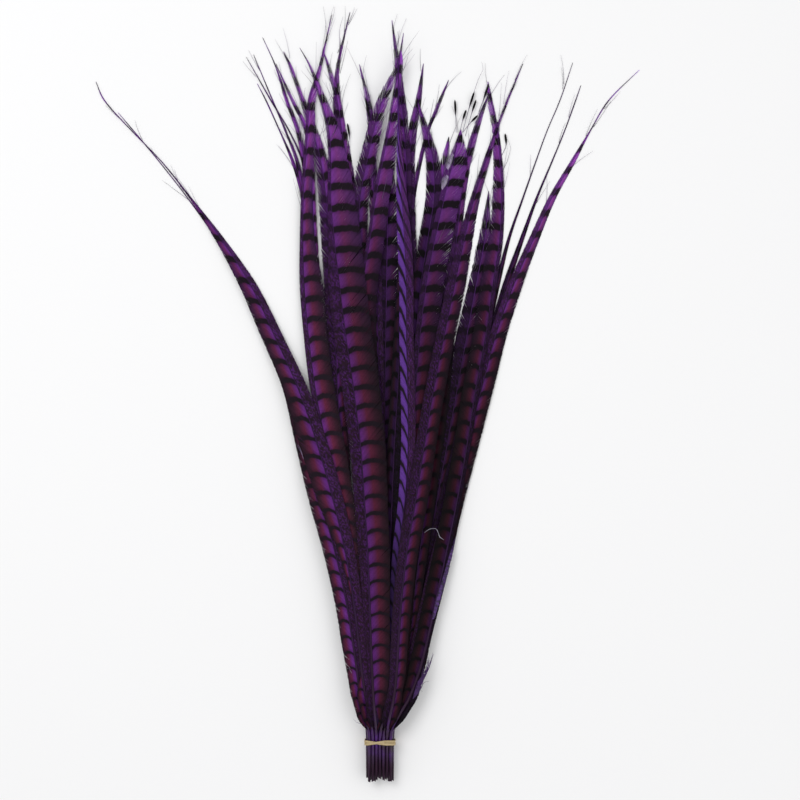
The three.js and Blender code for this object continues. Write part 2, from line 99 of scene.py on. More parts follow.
# From the back of the bunch to the front
FEATHERS = {
    "back_flat": Marks((640, 24, 17), "right", 0.3, 0.3, 0.2),
    "centre_ragged": Marks((788, 26, 17), "right", 0.25, 0.9, 0.6),
    "centre_thin": Marks((742, 25, 17), "left", 0.3, 0.8, 0.5),
    "right_ragged": Marks((682, 25, 17), "left", 0.6, 0.85, 0.6, low=0.35),
    "right_whisker": Marks((700, 25, 17), "left", 0.3, 0.7, 0.4),
    "right_jagged": Marks((610, 24, 17), "right", 0.6, 0.35, 0.3),
    "right_slender_inner": Marks((560, 23, 17), "right", 0.6, 0.45, 0.08),
    "right_slender_outer": Marks((560, 23, 17), "right", 0.6, 0.45, 0.1),
    "left_slender_lowest": Marks((696, 27.5, 17), "left", 0.15, 1.25, 0.25),
    "left_slender_second": Marks((705, 29.5, 17), "left", 0.15, 1.25, 0.25),
    "left_slender_hair": Marks((690, 26, 17), "left", 0.3, 0.8, 0.2),
    "left_slender_upper": Marks((763, 28, 17), "left", 0.15, 1.3, 0.4),
    "left_slender_inner": Marks((762, 25, 17), "right", 0.15, 1.3, 0.4),
    "right_inner_slim": Marks((745, 25, 17), "left", 0.2, 0.7, 0.2, low=0.3),
    "right_inner_bent": Marks((700, 25, 17), "left", 0.15, 0.7, 0.12, low=0.25, dim=(0.8, 0.95)),
    "right_slim": Marks((716, 25, 17), "right", 0.6, 0.85, 0.25, low=0.5),
    "centre_second": Marks((758, 25, 17), "right", 0.3, 0.95, 0.4, low=0.4),
    "left_inner": Marks((742, 26.5, 17), "right", 0.3, 1.0, 0.4, low=0.7),
    "centre_tall": Marks((800, 26, 17), "left", 0.2, 0.95, 0.4, low=0.2),
    "centre_crossing": Marks((778, 25, 17), "right", 0.2, 0.85, 0.5, low=0.3),
    "centre_right_barred": Marks((728, 26.5, 16), "right", 0.8, 1.05, 0.2, low=0.8),
    "left_column": Marks((741, 25, 16.5), "right", 0.55, 1.35, 0.25),
    "right_sweeping": Marks((695, 24.2, 17), "right", 0.5, 2.1, 0.15, low=0.9),
    "right_outer_barred": Marks((727, 24.5, 16.5), "left", 0.7, 0.95, 0.3, low=0.3, dim=(0.33, 0.8)),
    "left_edge": Marks((648, 24, 16.5), "left", 0.35, 1.25, 0.15),
    "far_left": Marks((620, 24, 16.5), "left", 0.4, 1.2, 0.1),
    "right_blunt": Marks((705.7, 24.7, 17), "right", 0.75, 0.64, 0.12, low=0.6),
    # Its tint below 0 paints a blue violet reflection on the rolled vane
    "rolled_strip": Marks(
        (737, 25.3, 16.5), "left", -0.1, 1.25, 0.2, low=0.3, dim=(0.24, 0.36), slant=-0.9
    ),
    "right_long_front": Marks((738, 24.5, 16), "right", 0.6, 0.95, 0.25, low=0.85),
    "centre_front": Marks((725, 24.5, 16.5), "right", 0.55, 1.0, 0.25),
}
LAST_BAR_ABOVE_QUILL_ENDS = 100

# Hairs that show singly, from their root on a feather outwards. tone: 0 is dark and 1 is pale.
HAIRS = {
    "left_slender_upper": [(0.2, [(-88, 690), (-97, 707), (-106, 723)])],
    "left_slender_second": [(0.1, [(-99, 700), (-106, 717), (-113, 736)])],
    "left_slender_lowest": [(0.3, [(-104, 700), (-109, 711), (-115.5, 725)])],
    "centre_front": [
        (0.9, [(-60, 705), (-57, 715), (-61, 724), (-58, 733)]),
        (0.6, [(-63, 712), (-58, 720), (-55, 730), (-57, 738)]),
        (0.8, [(-66, 708), (-62, 722), (-66, 733)]),
        (0.7, [(-58, 738), (-53, 750), (-56, 766)]),
        (0.9, [(-60, 742), (-51, 757), (-53, 769)]),
        (0.3, [(-57, 700), (-49, 716), (-44, 735)]),
    ],
    "right_blunt": [
        (0.3, [(99, 742), (108, 770), (113.5, 781), (112, 790)]),
        (0.1, [(86, 712), (84, 728), (79, 741)]),
    ],
    "right_slim": [
        (0.9, [(104, 722), (113, 736), (120, 753)]),
        (0.7, [(103, 716), (111, 731), (118, 748)]),
        (0.9, [(108, 732), (115, 745), (123, 762)]),
        (0.5, [(101, 710), (110, 729), (115, 750)]),
    ],
    "right_outer_barred": [(0.2, [(134, 668), (140, 680), (144, 695), (140.5, 705)])],
    "right_sweeping": [
        (0.1, [(37, 94), (42, 98), (47, 97)]),
        (0.2, [(46, 103), (49, 107), (54, 108)]),
    ],
    "left_edge": [
        (0.7, [(-21, 62), (-25, 63), (-29, 67)]),
        (1.0, [(-31, 117), (-33, 121), (-34.5, 125)]),
    ],
    "far_left": [
        (1.0, [(-84, 352), (-87, 360), (-91, 367)]),
        (1.0, [(-85, 355), (-87, 362), (-90, 368)]),
    ],
    "right_long_front": [(0.3, [(104, 626), (111, 645), (119, 670)])],
    "centre_ragged": [
        (0.1, [(-47, 800), (-40, 818), (-36, 838)]),
        (0.8, [(-44, 806), (-45, 824), (-41, 840)]),
    ],
    "centre_tall": [
        (0.2, [(16, 806), (14, 824), (19, 843)]),
        (0.6, [(17, 800), (22, 820), (29, 838)]),
    ],
}

# Single barbs with a wide dark end that stand out of the torn tips
FLAKES = {
    "right_blunt": [
        [(84, 712), (83.5, 730), (82.5, 748)],
        [(88, 712), (91, 725), (95, 737)],
        [(91, 712), (100, 723), (108, 731)],
        [(91, 712), (98, 738), (104, 757)],
        [(94, 708), (101, 733), (106, 748)],
    ],
    "right_slim": [[(109, 735), (114, 748), (120, 766)]],
    "right_outer_barred": [[(134, 686), (139, 698), (138, 711)]],
    "centre_thin": [[(-9, 700), (-11, 722), (-16, 750)]],
    "centre_second": [[(-38, 690), (-34, 706), (-36, 722)]],
}

# The curled filament that lies across the lower right of the bunch
FILAMENT = [(48.4, 270.6), (55, 274.7), (61.6, 274.7), (64.1, 270.6), (66, 265.9), (70.4, 262.9)]

# Rows of barbs that lie apart from the vanes: where they are rooted, the line that their ends make, how
# many there are, how far each bows, how far its end strays, how far it rises and which colour it has.
LOOSE_ROWS = {
    "torn_tuft": dict(
        roots=[(36, 89), (38, 97), (41, 107)],
        ends=[(45, 111), (51, 125), (57.5, 139)],
        barbs=22, bow=(2.0, -2.5), stray=2.5, rise=(0.5, 2.0), colour="tuft",
    ),
    "speckled_fringe": dict(
        roots=[(57.5, 176), (61.5, 196), (67.5, 217), (74.5, 240), (81, 262)],
        ends=[(60.5, 180), (67, 199), (73, 219), (79, 243), (83.5, 267)],
        barbs=120, bow=(0.5, -0.5), stray=0.5, rise=(0.1, 0.5), colour="fringe",
    ),
    "pale_barbs_upper": dict(
        roots=[(75.4, 671), (78.8, 677.5), (80.9, 686)],
        ends=[(72.4, 674), (74, 682), (78.6, 689)],
        barbs=10, bow=(0.2, 0.4), stray=0.4, rise=(0.3, 0.9), colour="pale",
    ),
    "pale_barbs_lower": dict(
        roots=[(69.2, 649), (73.4, 655), (75.5, 662)],
        ends=[(67, 652), (67.8, 659.5), (72.8, 665)],
        barbs=9, bow=(0.2, 0.4), stray=0.4, rise=(0.3, 0.9), colour="pale",
    ),
}

# How finely things are built: rows and columns are those of a vane's surface, steps go along a
# barb, hair or strand, and sides go round a shaft, hair or strand.
VANE_ROWS = 150
VANE_COLUMNS = 25
SHAFT_ROWS = 90
SHAFT_SIDES = 10
BARB_STEPS = 4
HAIR_STEPS = 7
HAIR_SIDES = 3
FLAKE_STEPS = 14
FLAKE_SIDES = 6
BAND_STEPS = 120
BAND_SIDES = 12
FILAMENT_STEPS = 40
FILAMENT_SIDES = 6
LOOSE_BARB_STEPS = 10
LOOSE_BARB_SIDES = 4

# Where the random draws start: each feather's own number is added to the first, and each feather's
# barbs start this far from those of the feather before
FEATHER_SEED = 1000
BARB_SEED_STEP = 10
LOOSE_SEED = 7

# The surface that the barbs lie on goes on past the vane's edge, for the barbs that have come loose
SURFACE_REACH = 1.5

# The vane begins as down: millimetres above the line of the quill ends, and its width on each side
VANE_START = 50
DOWN_GROWN = 68
DOWN_GONE = (92, 125)
DOWN_WIDTH = 9

# A shaft's radius and a vane's width on either side are never less than this
LEAST_WIDTH = 0.12 * MM

# Waves of a vane: how many there are along it, how high they are at its edge in millimetres, how far
# they differ from side to side in radians, and the width from which they reach their full height
WAVE_COUNTS = (5, 11, 17)
WAVE_HEIGHTS = (0.03, 0.09)
WAVE_TURN_OF_RIGHT_SIDE = 2.1
WIDTH_OF_FULL_WAVES = 8 * MM

# The shaft's rings crowd a little towards the tip. At these shares of its length it keeps these shares
# of its solid's radius. It ends in a point short of the tip, and a ridge runs along its top.
SHAFT_CROWDING = 0.85
SHAFT_THINNING = ([0, 0.08, 0.3, 1], [1, 1, 0.62, 0.3])
SHAFT_POINT = 0.3
SHAFT_SHORT_OF_TIP = 0.4 * MM
SHAFT_RIDGE = 0.12

# A cut quill slants by up to these millimetres, and its hollow ends in a cone with a small flat floor
CUT_SLANT = 1.2
HOLLOW_FLOOR_DEEPER = 1.05
HOLLOW_FLOOR_WIDTH = 0.2

# Hairs that leave a vane near its tip: the share of the vane where they start, their angle to it in
# degrees, how far they bend in radians, their length in millimetres, how steeply they rise, and how
# many millimetres they may stand out past the bunch. At its end a hair has a share of its thickness.
HAIR_START = (0.76, 0.985)
HAIR_ANGLE = (4, 18)
HAIR_BEND = 0.3
HAIR_LENGTH = (14, 44)
HAIR_RISE = (-0.01, 0.06)
HAIR_ROOT_SPREAD = 0.8
HAIR_ROOM = 6
HAIR_THINS_TO = 0.35

# Hairs and barbs that are placed singly: how steeply they rise, and how a barb widens in millimetres
# and darkens along its length
SINGLE_HAIR_RISE = 0.05
SINGLE_HAIR_THICKER = 1.25
FLAKE_WIDTHS = ([0, 0.5, 0.72, 0.93, 1], [0.25, 0.3, 1.3, 1.1, 0.2])
FLAKE_DARKENS = (0.5, 0.65)
FLAKE_TONE = 0.3
FLAKE_FLATNESS = 0.2

# Half the widths of the filament and of a barb in a loose row, as shares of their settings
FILAMENT_WIDTHS = ([0, 0.1, 0.8, 1], [0.5, 1, 1, 0.4])
LOOSE_BARB_WIDTHS = ([0, 0.3, 1], [0.6, 1, 0.25])
LOOSE_BARB_FLATNESS = 0.3

# The band: the room round its path and how far it is lifted into that, its corners, how square its
# section is (1 is round), and where in a turn, how fast and over what share of a turn it crosses itself
BAND_RISE = 0.15 * MM
BAND_LIFT = 0.2 * BAND_RISE
BAND_CORNER = 3 * MM
BAND_SQUARENESS = 0.6
BAND_CROSSES_AT = 0.36
BAND_CROSSES_FAST = 3.2
BAND_CROSSING_SPAN = 0.045

# The floor, and the height in the bunch that the camera's view is measured at
FLOOR_HALF = 20.0
FLOOR_DROP = 0.3 * MM
HEIGHT_OF_BUNCH = 12 * MM

# Where barbs, hairs and shafts lie on a feather's own map
BARB_MAP = (0.01, 0.91)
HAIR_MAP = (0.915, 0.935)
SHAFT_MAP = (0.94, 1.0)


def srgb(hex_colour):
    """A colour written as #rrggbb, in the linear values that Blender's sockets hold."""
    channels = [int(hex_colour[i : i + 2], 16) / 255 for i in (1, 3, 5)]
    linear = [c / 12.92 if c <= 0.04045 else ((c + 0.055) / 1.055) ** 2.4 for c in channels]
    return (*linear, 1.0)


WARM_DYE = srgb("#fff0d2")
# Near black: painted shade in the cut quill's hollow, and the dark ends of the single barbs
HOLLOW_SHADE_AND_BARB_ENDS = srgb("#0a060c")
SKY = srgb("#fcfcfd")


def metres(name, default, description, **limits):
    return bpy.props.FloatProperty(
        name=name, description=description, default=default, unit="LENGTH", precision=5, **limits
    )


def fraction(name, default, description, **limits):
    return bpy.props.FloatProperty(
        name=name, description=description, default=default, subtype="FACTOR", **limits
    )


def paint(name, hex_colour, description):
    return bpy.props.FloatVectorProperty(
        name=name,
        description=description,
        default=srgb(hex_colour),
        size=4,
        subtype="COLOR",
        min=0,
        max=1,
    )


class VaneSettings(bpy.types.PropertyGroup):
    """The barbs of every feather and the colours of their dye."""

    barb_spacing: metres("Barb Spacing", 0.0009, "Distance between two barbs on one side", min=0.0004)
    barb_overlap: fraction("Barb Overlap", 1.7, "Barb width as a share of the spacing", min=0.5, max=3)
    sweep: fraction("Sweep", 1.15, "Lean of a barb to the tip, as a share of its length", min=0, max=4)
    least_sweep: metres("Least Sweep", 0.009, "The shortest lean of a barb", min=0)
    split_depth: metres("Split Depth", 0.007, "How far torn locks of barbs part at the edge", min=0)
    lock_length: metres("Lock Length", 0.011, "Length of vane that clings together", min=0.001)
    camber: fraction("Camber", 0.022, "Rise of a vane's middle as a share of its width", min=0, max=0.1)
    # Violet by the rachis is partly dye and partly painted sheen; deep maroon and the edge are partly
    # dye and partly painted shade towards the vane's edge
    violet: paint("Violet", "#4d2066", "Dye next to the rachis")
    # Blue Violet: dye, and on the rolled strip a painted reflection
    blue: paint("Blue Violet", "#4a2b72", "Dye of the feathers with the lowest tint")
    maroon: paint("Maroon", "#481830", "Dye over the brown of the feather")
    deep: paint("Deep Maroon", "#28111f", "The same further from the rachis")
    edge: paint("Edge", "#120911", "Outer edge of the vanes")
    bar: paint("Bar", "#181018", "Dark bars")
    # Tip: painted light, the colour of light shining through the thin vane towards its tip, over the dye
    tip: paint("Tip", "#8341a3", "Dye where the feather is pale, towards its tip")
    dark_vane: paint("Dark Vane", "#21101e", "Ground of the finely speckled vane")
    speckle: paint("Speckle", "#461e5d", "Fine speckles on the dark vane")


class ShaftSettings(bpy.types.PropertyGroup):
    """The rachis and quill of every feather."""

    rachis: paint("Rachis", "#2b1436", "Rachis between the vanes")
    thin_rachis: paint("Thin Rachis", "#5c2c7c", "Rachis towards the tip")
    quill: paint("Quill", "#2c192a", "Quill near the band")
    # Glint: a painted glint, brighter violet patches on the quills near the band
    glint: paint("Glint", "#4a0f74", "Patches of clear dye on the quills near the band")
    hair: paint("Hair", "#2a1a38", "Dark hairs at the tips")
    pale_hair: paint("Pale Hair", "#8c7c9c", "Pale hairs at the tips")
    hairs: bpy.props.IntProperty(
        name="Hairs", description="Hairs on a wholly torn vane", default=32, min=0
    )
    hair_radius: metres("Hair Radius", 0.00024, "Half the thickness of a hair at its root", min=0.00005)
    wall: fraction("Wall", 0.32, "Wall of the cut quill as a share of its radius", min=0.05, max=0.9)
    hollow: metres("Hollow Depth", 0.006, "Depth of the cut quill's opening", min=0)


class BandSettings(bpy.types.PropertyGroup):
    """The rubber band, wound twice round the quills."""

    strand_width: metres("Strand Width", 0.0027, "Width of the rubber", min=0.0005)
    strand_thickness: metres("Strand Thickness", 0.0011, "Thickness of the rubber", min=0.0003)
    rubber: paint("Rubber", "#9a835a", "Colour of the rubber")
    worn: paint("Worn Rubber", "#c0ab83", "Colour where the rubber is stretched")


class LooseSettings(bpy.types.PropertyGroup):
    """The curled filament and the rows of loose barbs."""

    filament_radius: metres("Filament Radius", 0.00038, "Half the filament's thickness", min=0.00005)
    filament: paint("Filament", "#8f8a99", "Colour of the curled filament")
    barb_width: metres("Barb Width", 0.0005, "Half the width of a barb in the loose rows", min=0.0001)
    tuft: paint("Tuft", "#411e5b", "Colour of the torn tuft")
    fringe: paint("Fringe", "#472865", "Colour of the speckled fringe at the right edge")
    pale: paint("Pale Barbs", "#cbbedb", "Colour of the pale parted barbs")


class StageSettings(bpy.types.PropertyGroup):
    """The floor, the lights and the camera."""

    floor: paint("Floor", "#f3f3f3", "Colour of the floor")
    camera_height: metres("Camera Height", 3.0, "Height of the camera over the floor", min=1)
    view_width: metres("View Width", 0.88, "Width that the picture shows at the bunch", min=0.1)
    aim_x: metres("Aim Across", 0.0355, "Where the camera looks, across the bunch")
    aim_y: metres("Aim Along", -0.0049, "Where the camera looks, along the bunch")
    key_power: bpy.props.FloatProperty(
        name="Key Power", description="Power of the key light", default=22, unit="POWER", min=0
    )
    sky: bpy.props.FloatProperty(
        name="Sky", description="Strength of the light from all round", default=0.75, min=0
    )


# Curves and the courses of the feathers


def smooth(places, values, wanted):
    """Rows at the wanted places on a smooth curve through rows of values, whose places rise."""
    steps = np.diff(places)[:, None]
    rises = np.diff(values, axis=0) / steps
    inner = (values[2:] - values[:-2]) / (places[2:] - places[:-2])[:, None]
    slopes = np.concatenate([rises[:1], inner, rises[-1:]])
    k = np.clip(np.searchsorted(places, wanted) - 1, 0, len(places) - 2)
    step = steps[k]
    t = np.clip((wanted - places[k])[:, None] / step, 0, 1)
    low, high = values[k], values[k + 1]
    leaving, arriving = slopes[k] * step, slopes[k + 1] * step
    cube = 2 * (low - high) + leaving + arriving
    square = 3 * (high - low) - 2 * leaving - arriving
    return ((cube * t + square) * t + leaving) * t + low


def ease(values, low, high):
    """0 below low, 1 above high, and an even rise between them."""
    t = np.clip((values - low) / (high - low), 0, 1)
    return t * t * (3 - 2 * t)


def sections_of(node):
    """The sections of a feather's solid, rising in y: the y of each and what Feather.COLUMNS names."""
    points = np.array([v.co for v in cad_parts[node].data.vertices])
    points = np.unique(np.round(points, 5), axis=0)
    points = points[np.argsort(points[:, 1], kind="stable")]
    cuts = np.nonzero(np.diff(points[:, 1]) > 1 * MM)[0] + 1
    rows = []
    for section in np.split(points, cuts):
        section = section[np.lexsort((section[:, 2], section[:, 0]))]
        left, right, low, high = section[0], section[-1], section[3], section[4]
        z = (low[2] + high[2]) / 2
        radius = (high[2] - low[2]) / 2
        widths = low[0] - left[0], right[0] - low[0]
        rows.append([left[1], low[0], z, radius, *widths, left[2] - z, right[2] - z])
    return np.array(rows)


class Feather:
    """One feather's course, read from its solid: y rises along it, and every other value follows y."""

    COLUMNS = ("x", "z", "radius", "left", "right", "left_edge", "right_edge")

    def __init__(self, name, marks, index):
        self.name = name
        self.node = f"feather_{name}"
        self.marks = marks
        self.random = np.random.default_rng(FEATHER_SEED + index)
        self.sections = sections_of(self.node)
        self.start = self.sections[0, 0]
        self.tip = self.sections[-1, 0]
        self.vane_start = QUILL_END_Y + VANE_START * MM
        self.vane_length = self.tip - self.vane_start

    def at(self, y):
        """The course at these y values, as a dict of arrays."""
        values = smooth(self.sections[:, 0], self.sections[:, 1:], y)
        course = dict(zip(self.COLUMNS, values.T))
        height = (y - QUILL_END_Y) / MM
        down = DOWN_WIDTH * MM * ease(height, VANE_START, DOWN_GROWN) * (1 - ease(height, *DOWN_GONE))
        for key, least in (("radius", 0), ("left", down), ("right", down)):
            course[key] = np.maximum(course[key], np.maximum(least, LEAST_WIDTH))
        return course

    def bars_from_tip(self, y):
        """How many bars lie between each y and the tip. It is whole in the middle of a bar."""
        first, near_tip, near_quill = (value * MM for value in self.marks.bars)
        first += QUILL_END_Y
        last = LAST_BAR_ABOVE_QUILL_ENDS * MM + QUILL_END_Y
        fine = np.linspace(self.tip, self.start, 2000)
        step = np.interp(fine, [last, first], [near_quill, near_tip])
        counted = np.concatenate([[0], np.cumsum(-np.diff(fine) / step[1:])])
        counted -= np.interp(-first, -fine, counted)
        return np.interp(-y, -fine, counted)


# Meshes


def put_numbers(mesh, name, values):
    """A number on each vertex of a mesh."""
    attribute = mesh.attributes.new(name, "FLOAT", "POINT")
    attribute.data.foreach_set("value", np.asarray(values, np.float32).reshape(-1))


def put_map(mesh, name, of_vertices):
    """A UV map that is the same for all the corners of a vertex."""
    layer = mesh.uv_layers.new(name=name)
    corners = np.empty(len(mesh.loops), np.int64)
    mesh.loops.foreach_get("vertex_index", corners)
    layer.uv.foreach_set("vector", np.asarray(of_vertices, np.float32)[corners].reshape(-1))


def smooth_mesh(name, points, faces, material=None):
    """A smoothly shaded mesh."""
    mesh = bpy.data.meshes.new(name)
    mesh.from_pydata(points.tolist(), [], faces)
    mesh.shade_smooth()
    if material:
        mesh.materials.append(material)
    return mesh


class Parts:
    """Closed shapes that become one mesh."""

    def __init__(self):
        self.points, self.faces, self.count = [], [], 0

    def take(self, points, faces):
        self.faces += [[corner + self.count for corner in face] for face in faces]
        self.points.append(points)
        self.count += len(points)

    def mesh(self, name, material):
        return smooth_mesh(name, np.concatenate(self.points), self.faces, material)


def walls(count, sides, round_again=False):
    """Faces between rings of points, also from the last to the first if the tube goes round again."""
    faces = []
    for row in range(count if round_again else count - 1):
        this, following = row * sides, (row + 1) % count * sides
        for i in range(sides):
            j = (i + 1) % sides
            faces.append([this + i, this + j, following + j, following + i])
    return faces


def tube(rings):
    """(points, faces) of a tube through rings of points, closed at both ends."""
    count, sides = len(rings), len(rings[0])
    ends = [list(range(sides))[::-1], [(count - 1) * sides + i for i in range(sides)]]
    return np.concatenate(rings), walls(count, sides) + ends


def ring(centre, along, radius, sides, flatten=1.0, ridge=0.0):
    """Points round a centre, in the plane across the direction along, which runs mostly in y."""
    side = np.cross(along, (0, 0, 1))
    side /= np.linalg.norm(side)
    up = np.cross(side, along)
    turns = np.arange(sides) * 2 * math.pi / sides
    lift = np.where(np.sin(turns) > 0.99, 1 + ridge, 1.0)
    return centre + radius * (
        np.cos(turns)[:, None] * side + (np.sin(turns) * lift)[:, None] * up * flatten
    )


def rings_along(points, radii, sides, **shape):
    """Rings of these radii across a line of points."""
    along = np.gradient(points, axis=0)
    along /= np.linalg.norm(along, axis=1)[:, None]
    return [ring(c, a, r, sides, **shape) for c, a, r in zip(points, along, radii)]


def fibre(points, radii, sides=HAIR_SIDES, flatten=1.0):
    """(points, faces) of a thin closed fibre along a line of points."""
    return tube(rings_along(points, radii, sides, flatten=flatten))


def vane_surface(feather, camber):
    """The surface that the barbs lie on, with the UV map "place" across and along the vane."""
    along = np.linspace(0, 1, VANE_ROWS)
    across = np.linspace(-SURFACE_REACH, SURFACE_REACH, VANE_COLUMNS)
    y = feather.vane_start + along * feather.vane_length
    course = feather.at(y)
    on_left = across[None, :] < 0
    width = np.where(on_left, course["left"][:, None], course["right"][:, None])
    edge = np.where(on_left, course["left_edge"][:, None], course["right_edge"][:, None])
    out = np.abs(across)[None, :]
    x = course["x"][:, None] + across[None, :] * width
    z = course["z"][:, None] + out * edge + camber * width * 4 * out * (1 - out)
    over_quills = 1 - ease((y - QUILL_END_Y) / MM, *DOWN_GONE)
    z += (over_quills * course["radius"])[:, None] * ease(out, 0.1, 0.6)
    waves = np.zeros_like(z)
    for cycles in WAVE_COUNTS:
        turn, size = feather.random.uniform(0, 2 * math.pi), feather.random.uniform(*WAVE_HEIGHTS)
        side_turn = np.where(on_left, 0.0, WAVE_TURN_OF_RIGHT_SIDE)
        waves += size * MM * np.sin(along[:, None] * cycles * 2 * math.pi + turn + side_turn)
    z += waves * out**2 * np.minimum(width / WIDTH_OF_FULL_WAVES, 1)
    points = np.stack([x, np.repeat(y[:, None], VANE_COLUMNS, 1), z], -1).reshape(-1, 3)
    corner = np.arange(VANE_ROWS - 1)[:, None] * VANE_COLUMNS + np.arange(VANE_COLUMNS - 1)[None, :]
    corner = corner.reshape(-1)
    faces = np.stack([corner, corner + 1, corner + VANE_COLUMNS + 1, corner + VANE_COLUMNS], -1)
    mesh = smooth_mesh(f"vane_surface_{feather.name}", points, faces.tolist())
    place = np.stack(np.meshgrid(across / SURFACE_REACH / 2 + 0.5, along), -1).reshape(-1, 2)
    put_map(mesh, "place", place)
    put_numbers(mesh, "bars", np.repeat(feather.bars_from_tip(y), VANE_COLUMNS))
    put_numbers(mesh, "width", width)
    return mesh


# Places on the bunch, hairs and shafts


def through(places, count):
    """Evenly spaced points of a smooth line through places on the bunch, in the frame's metres."""
    flat = np.array(places, float) * MM + (QUILLS_X, QUILL_END_Y)
    return smooth(np.arange(len(places), dtype=float), flat, np.linspace(0, len(places) - 1, count))


def rising_from(feather, flat, rise):
    """The same points with heights, rising evenly from the feather at the first one."""
    gone = np.concatenate([[0], np.cumsum(np.linalg.norm(np.diff(flat, axis=0), axis=1))])
    return np.column_stack([flat, feather.at(flat[:1, 1])["z"][0] + rise * gone])


def random_hair(feather):
    """The flat course of one fine hair that leaves the vane near its tip."""
    pick = feather.random.uniform
    y = feather.vane_start + pick(*HAIR_START) * feather.vane_length
    low, here, high = (feather.at(np.array([y + step * MM])) for step in (-5, 0, 5))
    side = feather.random.choice(("left", "right"))
    sign = 1 if side == "right" else -1
    course = math.atan((high["x"][0] - low["x"][0]) / (10 * MM))
    turns = course + sign * math.radians(pick(*HAIR_ANGLE))
    turns = turns + pick(-HAIR_BEND, HAIR_BEND) * np.linspace(0, 1, HAIR_STEPS)
    room = CAD_BOX[1][1] + HAIR_ROOM * MM - y
    step = min(pick(*HAIR_LENGTH) * MM, room) / HAIR_STEPS
    root = here["x"][0] + sign * here[side][0] * pick(0, HAIR_ROOT_SPREAD)
    x = root + np.cumsum(np.sin(turns)) * step
    return np.column_stack([x, y + np.cumsum(np.cos(turns)) * step])


def hairs_of(feather, settings):
    """(points, faces, tone, darkness along it) of each hair and each dark-ended barb of a feather."""
    thin = np.linspace(1, HAIR_THINS_TO, HAIR_STEPS) * settings.hair_radius
    for _ in range(round(settings.hairs * feather.marks.rag)):
        flat, tone = random_hair(feather), feather.random.uniform()
        line = rising_from(feather, flat, feather.random.uniform(*HAIR_RISE))
        yield *fibre(line, thin), tone**2, np.zeros(HAIR_STEPS)
    for tone, places in HAIRS.get(feather.name, ()):
        line = rising_from(feather, through(places, HAIR_STEPS), SINGLE_HAIR_RISE)
        yield *fibre(line, thin * SINGLE_HAIR_THICKER), tone, np.zeros(HAIR_STEPS)
    for places in FLAKES.get(feather.name, ()):
        way = np.linspace(0, 1, FLAKE_STEPS)
        wide = np.interp(way, *FLAKE_WIDTHS) * MM
        line = rising_from(feather, through(places, FLAKE_STEPS), SINGLE_HAIR_RISE)
        yield *fibre(line, wide, FLAKE_SIDES, FLAKE_FLATNESS), FLAKE_TONE, ease(way, *FLAKE_DARKENS)


def shaft_mesh(feather, settings, material):
    """The feather's quill and rachis with a cut hollow end, and the hairs that leave its vanes."""
    end = feather.start
    spread = np.linspace(0, 1, SHAFT_ROWS) ** SHAFT_CROWDING
    y = end + spread * (feather.tip - SHAFT_SHORT_OF_TIP - end)
    course = feather.at(y)
    centres = np.stack([course["x"], y, course["z"]], -1)
    radius = course["radius"] * np.interp(spread, *SHAFT_THINNING)
    radius[-1] *= SHAFT_POINT
    slant = feather.random.uniform(-CUT_SLANT, CUT_SLANT) * MM
    rings = rings_along(centres, radius, SHAFT_SIDES, ridge=SHAFT_RIDGE)
    mouth = rings[0].copy()
    mouth[:, 1] += slant * (mouth[:, 0] - centres[0, 0]) / radius[0]
    inside = centres[0] + (mouth - centres[0]) * (1 - settings.wall)
    deep = inside + np.array([0, settings.hollow, 0])
    floor = centres[0] + np.array([0, settings.hollow * HOLLOW_FLOOR_DEEPER, 0])
    floor = floor + (inside - centres[0]) * HOLLOW_FLOOR_WIDTH
    rings = [floor, deep, inside, mouth, *rings[1:]]
    parts = Parts()
    parts.take(*tube(rings))
    turn = np.tile(np.arange(SHAFT_SIDES) / SHAFT_SIDES, len(rings))
    v = np.repeat(np.concatenate([[0, 0, 0, 0], spread[1:]]), SHAFT_SIDES)
    maps = [np.stack([SHAFT_MAP[0] + turn * (SHAFT_MAP[1] - SHAFT_MAP[0]), v], -1)]
    # Painted shade in the cut quill's hollow: its floor and walls are darkened fully and the mouth's
    # inner rim partly
    dark = np.repeat([1, 1, 0.6] + [0] * (len(rings) - 3), SHAFT_SIDES)
    numbers = [[v, np.full(len(v), feather.random.uniform()), np.zeros(len(v)), dark]]
    for points, faces, tone, ends in hairs_of(feather, settings):
        parts.take(points, faces)
        sides = len(points) // len(ends)
        v = np.repeat(np.linspace(0.01, 0.99, len(ends)), sides)
        u = HAIR_MAP[0] + tone * (HAIR_MAP[1] - HAIR_MAP[0])
        maps.append(np.stack([np.full(len(v), u), v], -1))
        numbers.append([v, np.full(len(v), tone), np.ones(len(v)), np.repeat(ends, sides)])
    mesh = parts.mesh(f"shaft_{feather.name}", material)
    put_map(mesh, "OFBake", np.concatenate(maps))
    put_numbers(mesh, "shaft", np.ones(parts.count))
    for name, values in zip(("along", "barb", "hair", "inside"), np.concatenate(numbers, 1)):
        put_numbers(mesh, name, values)
    return mesh


# Node trees


def arithmetic(operation, swapped=False):
    """A Python operator between a value in a tree and a number or another value there."""

    def apply(value, other):
        return value.tree.math(operation, *((other, value) if swapped else (value, other)))

    return apply


class Value:
    """An output in a node tree. Python's operators on it add the nodes that work them out."""

    def __init__(self, tree, socket):
        self.tree, self.socket = tree, socket

    __add__ = __radd__ = arithmetic("ADD")
    __sub__, __rsub__ = arithmetic("SUBTRACT"), arithmetic("SUBTRACT", swapped=True)
    __mul__ = __rmul__ = arithmetic("MULTIPLY")
    __truediv__ = arithmetic("DIVIDE")
    __mod__ = arithmetic("MODULO")
    __pow__ = arithmetic("POWER")


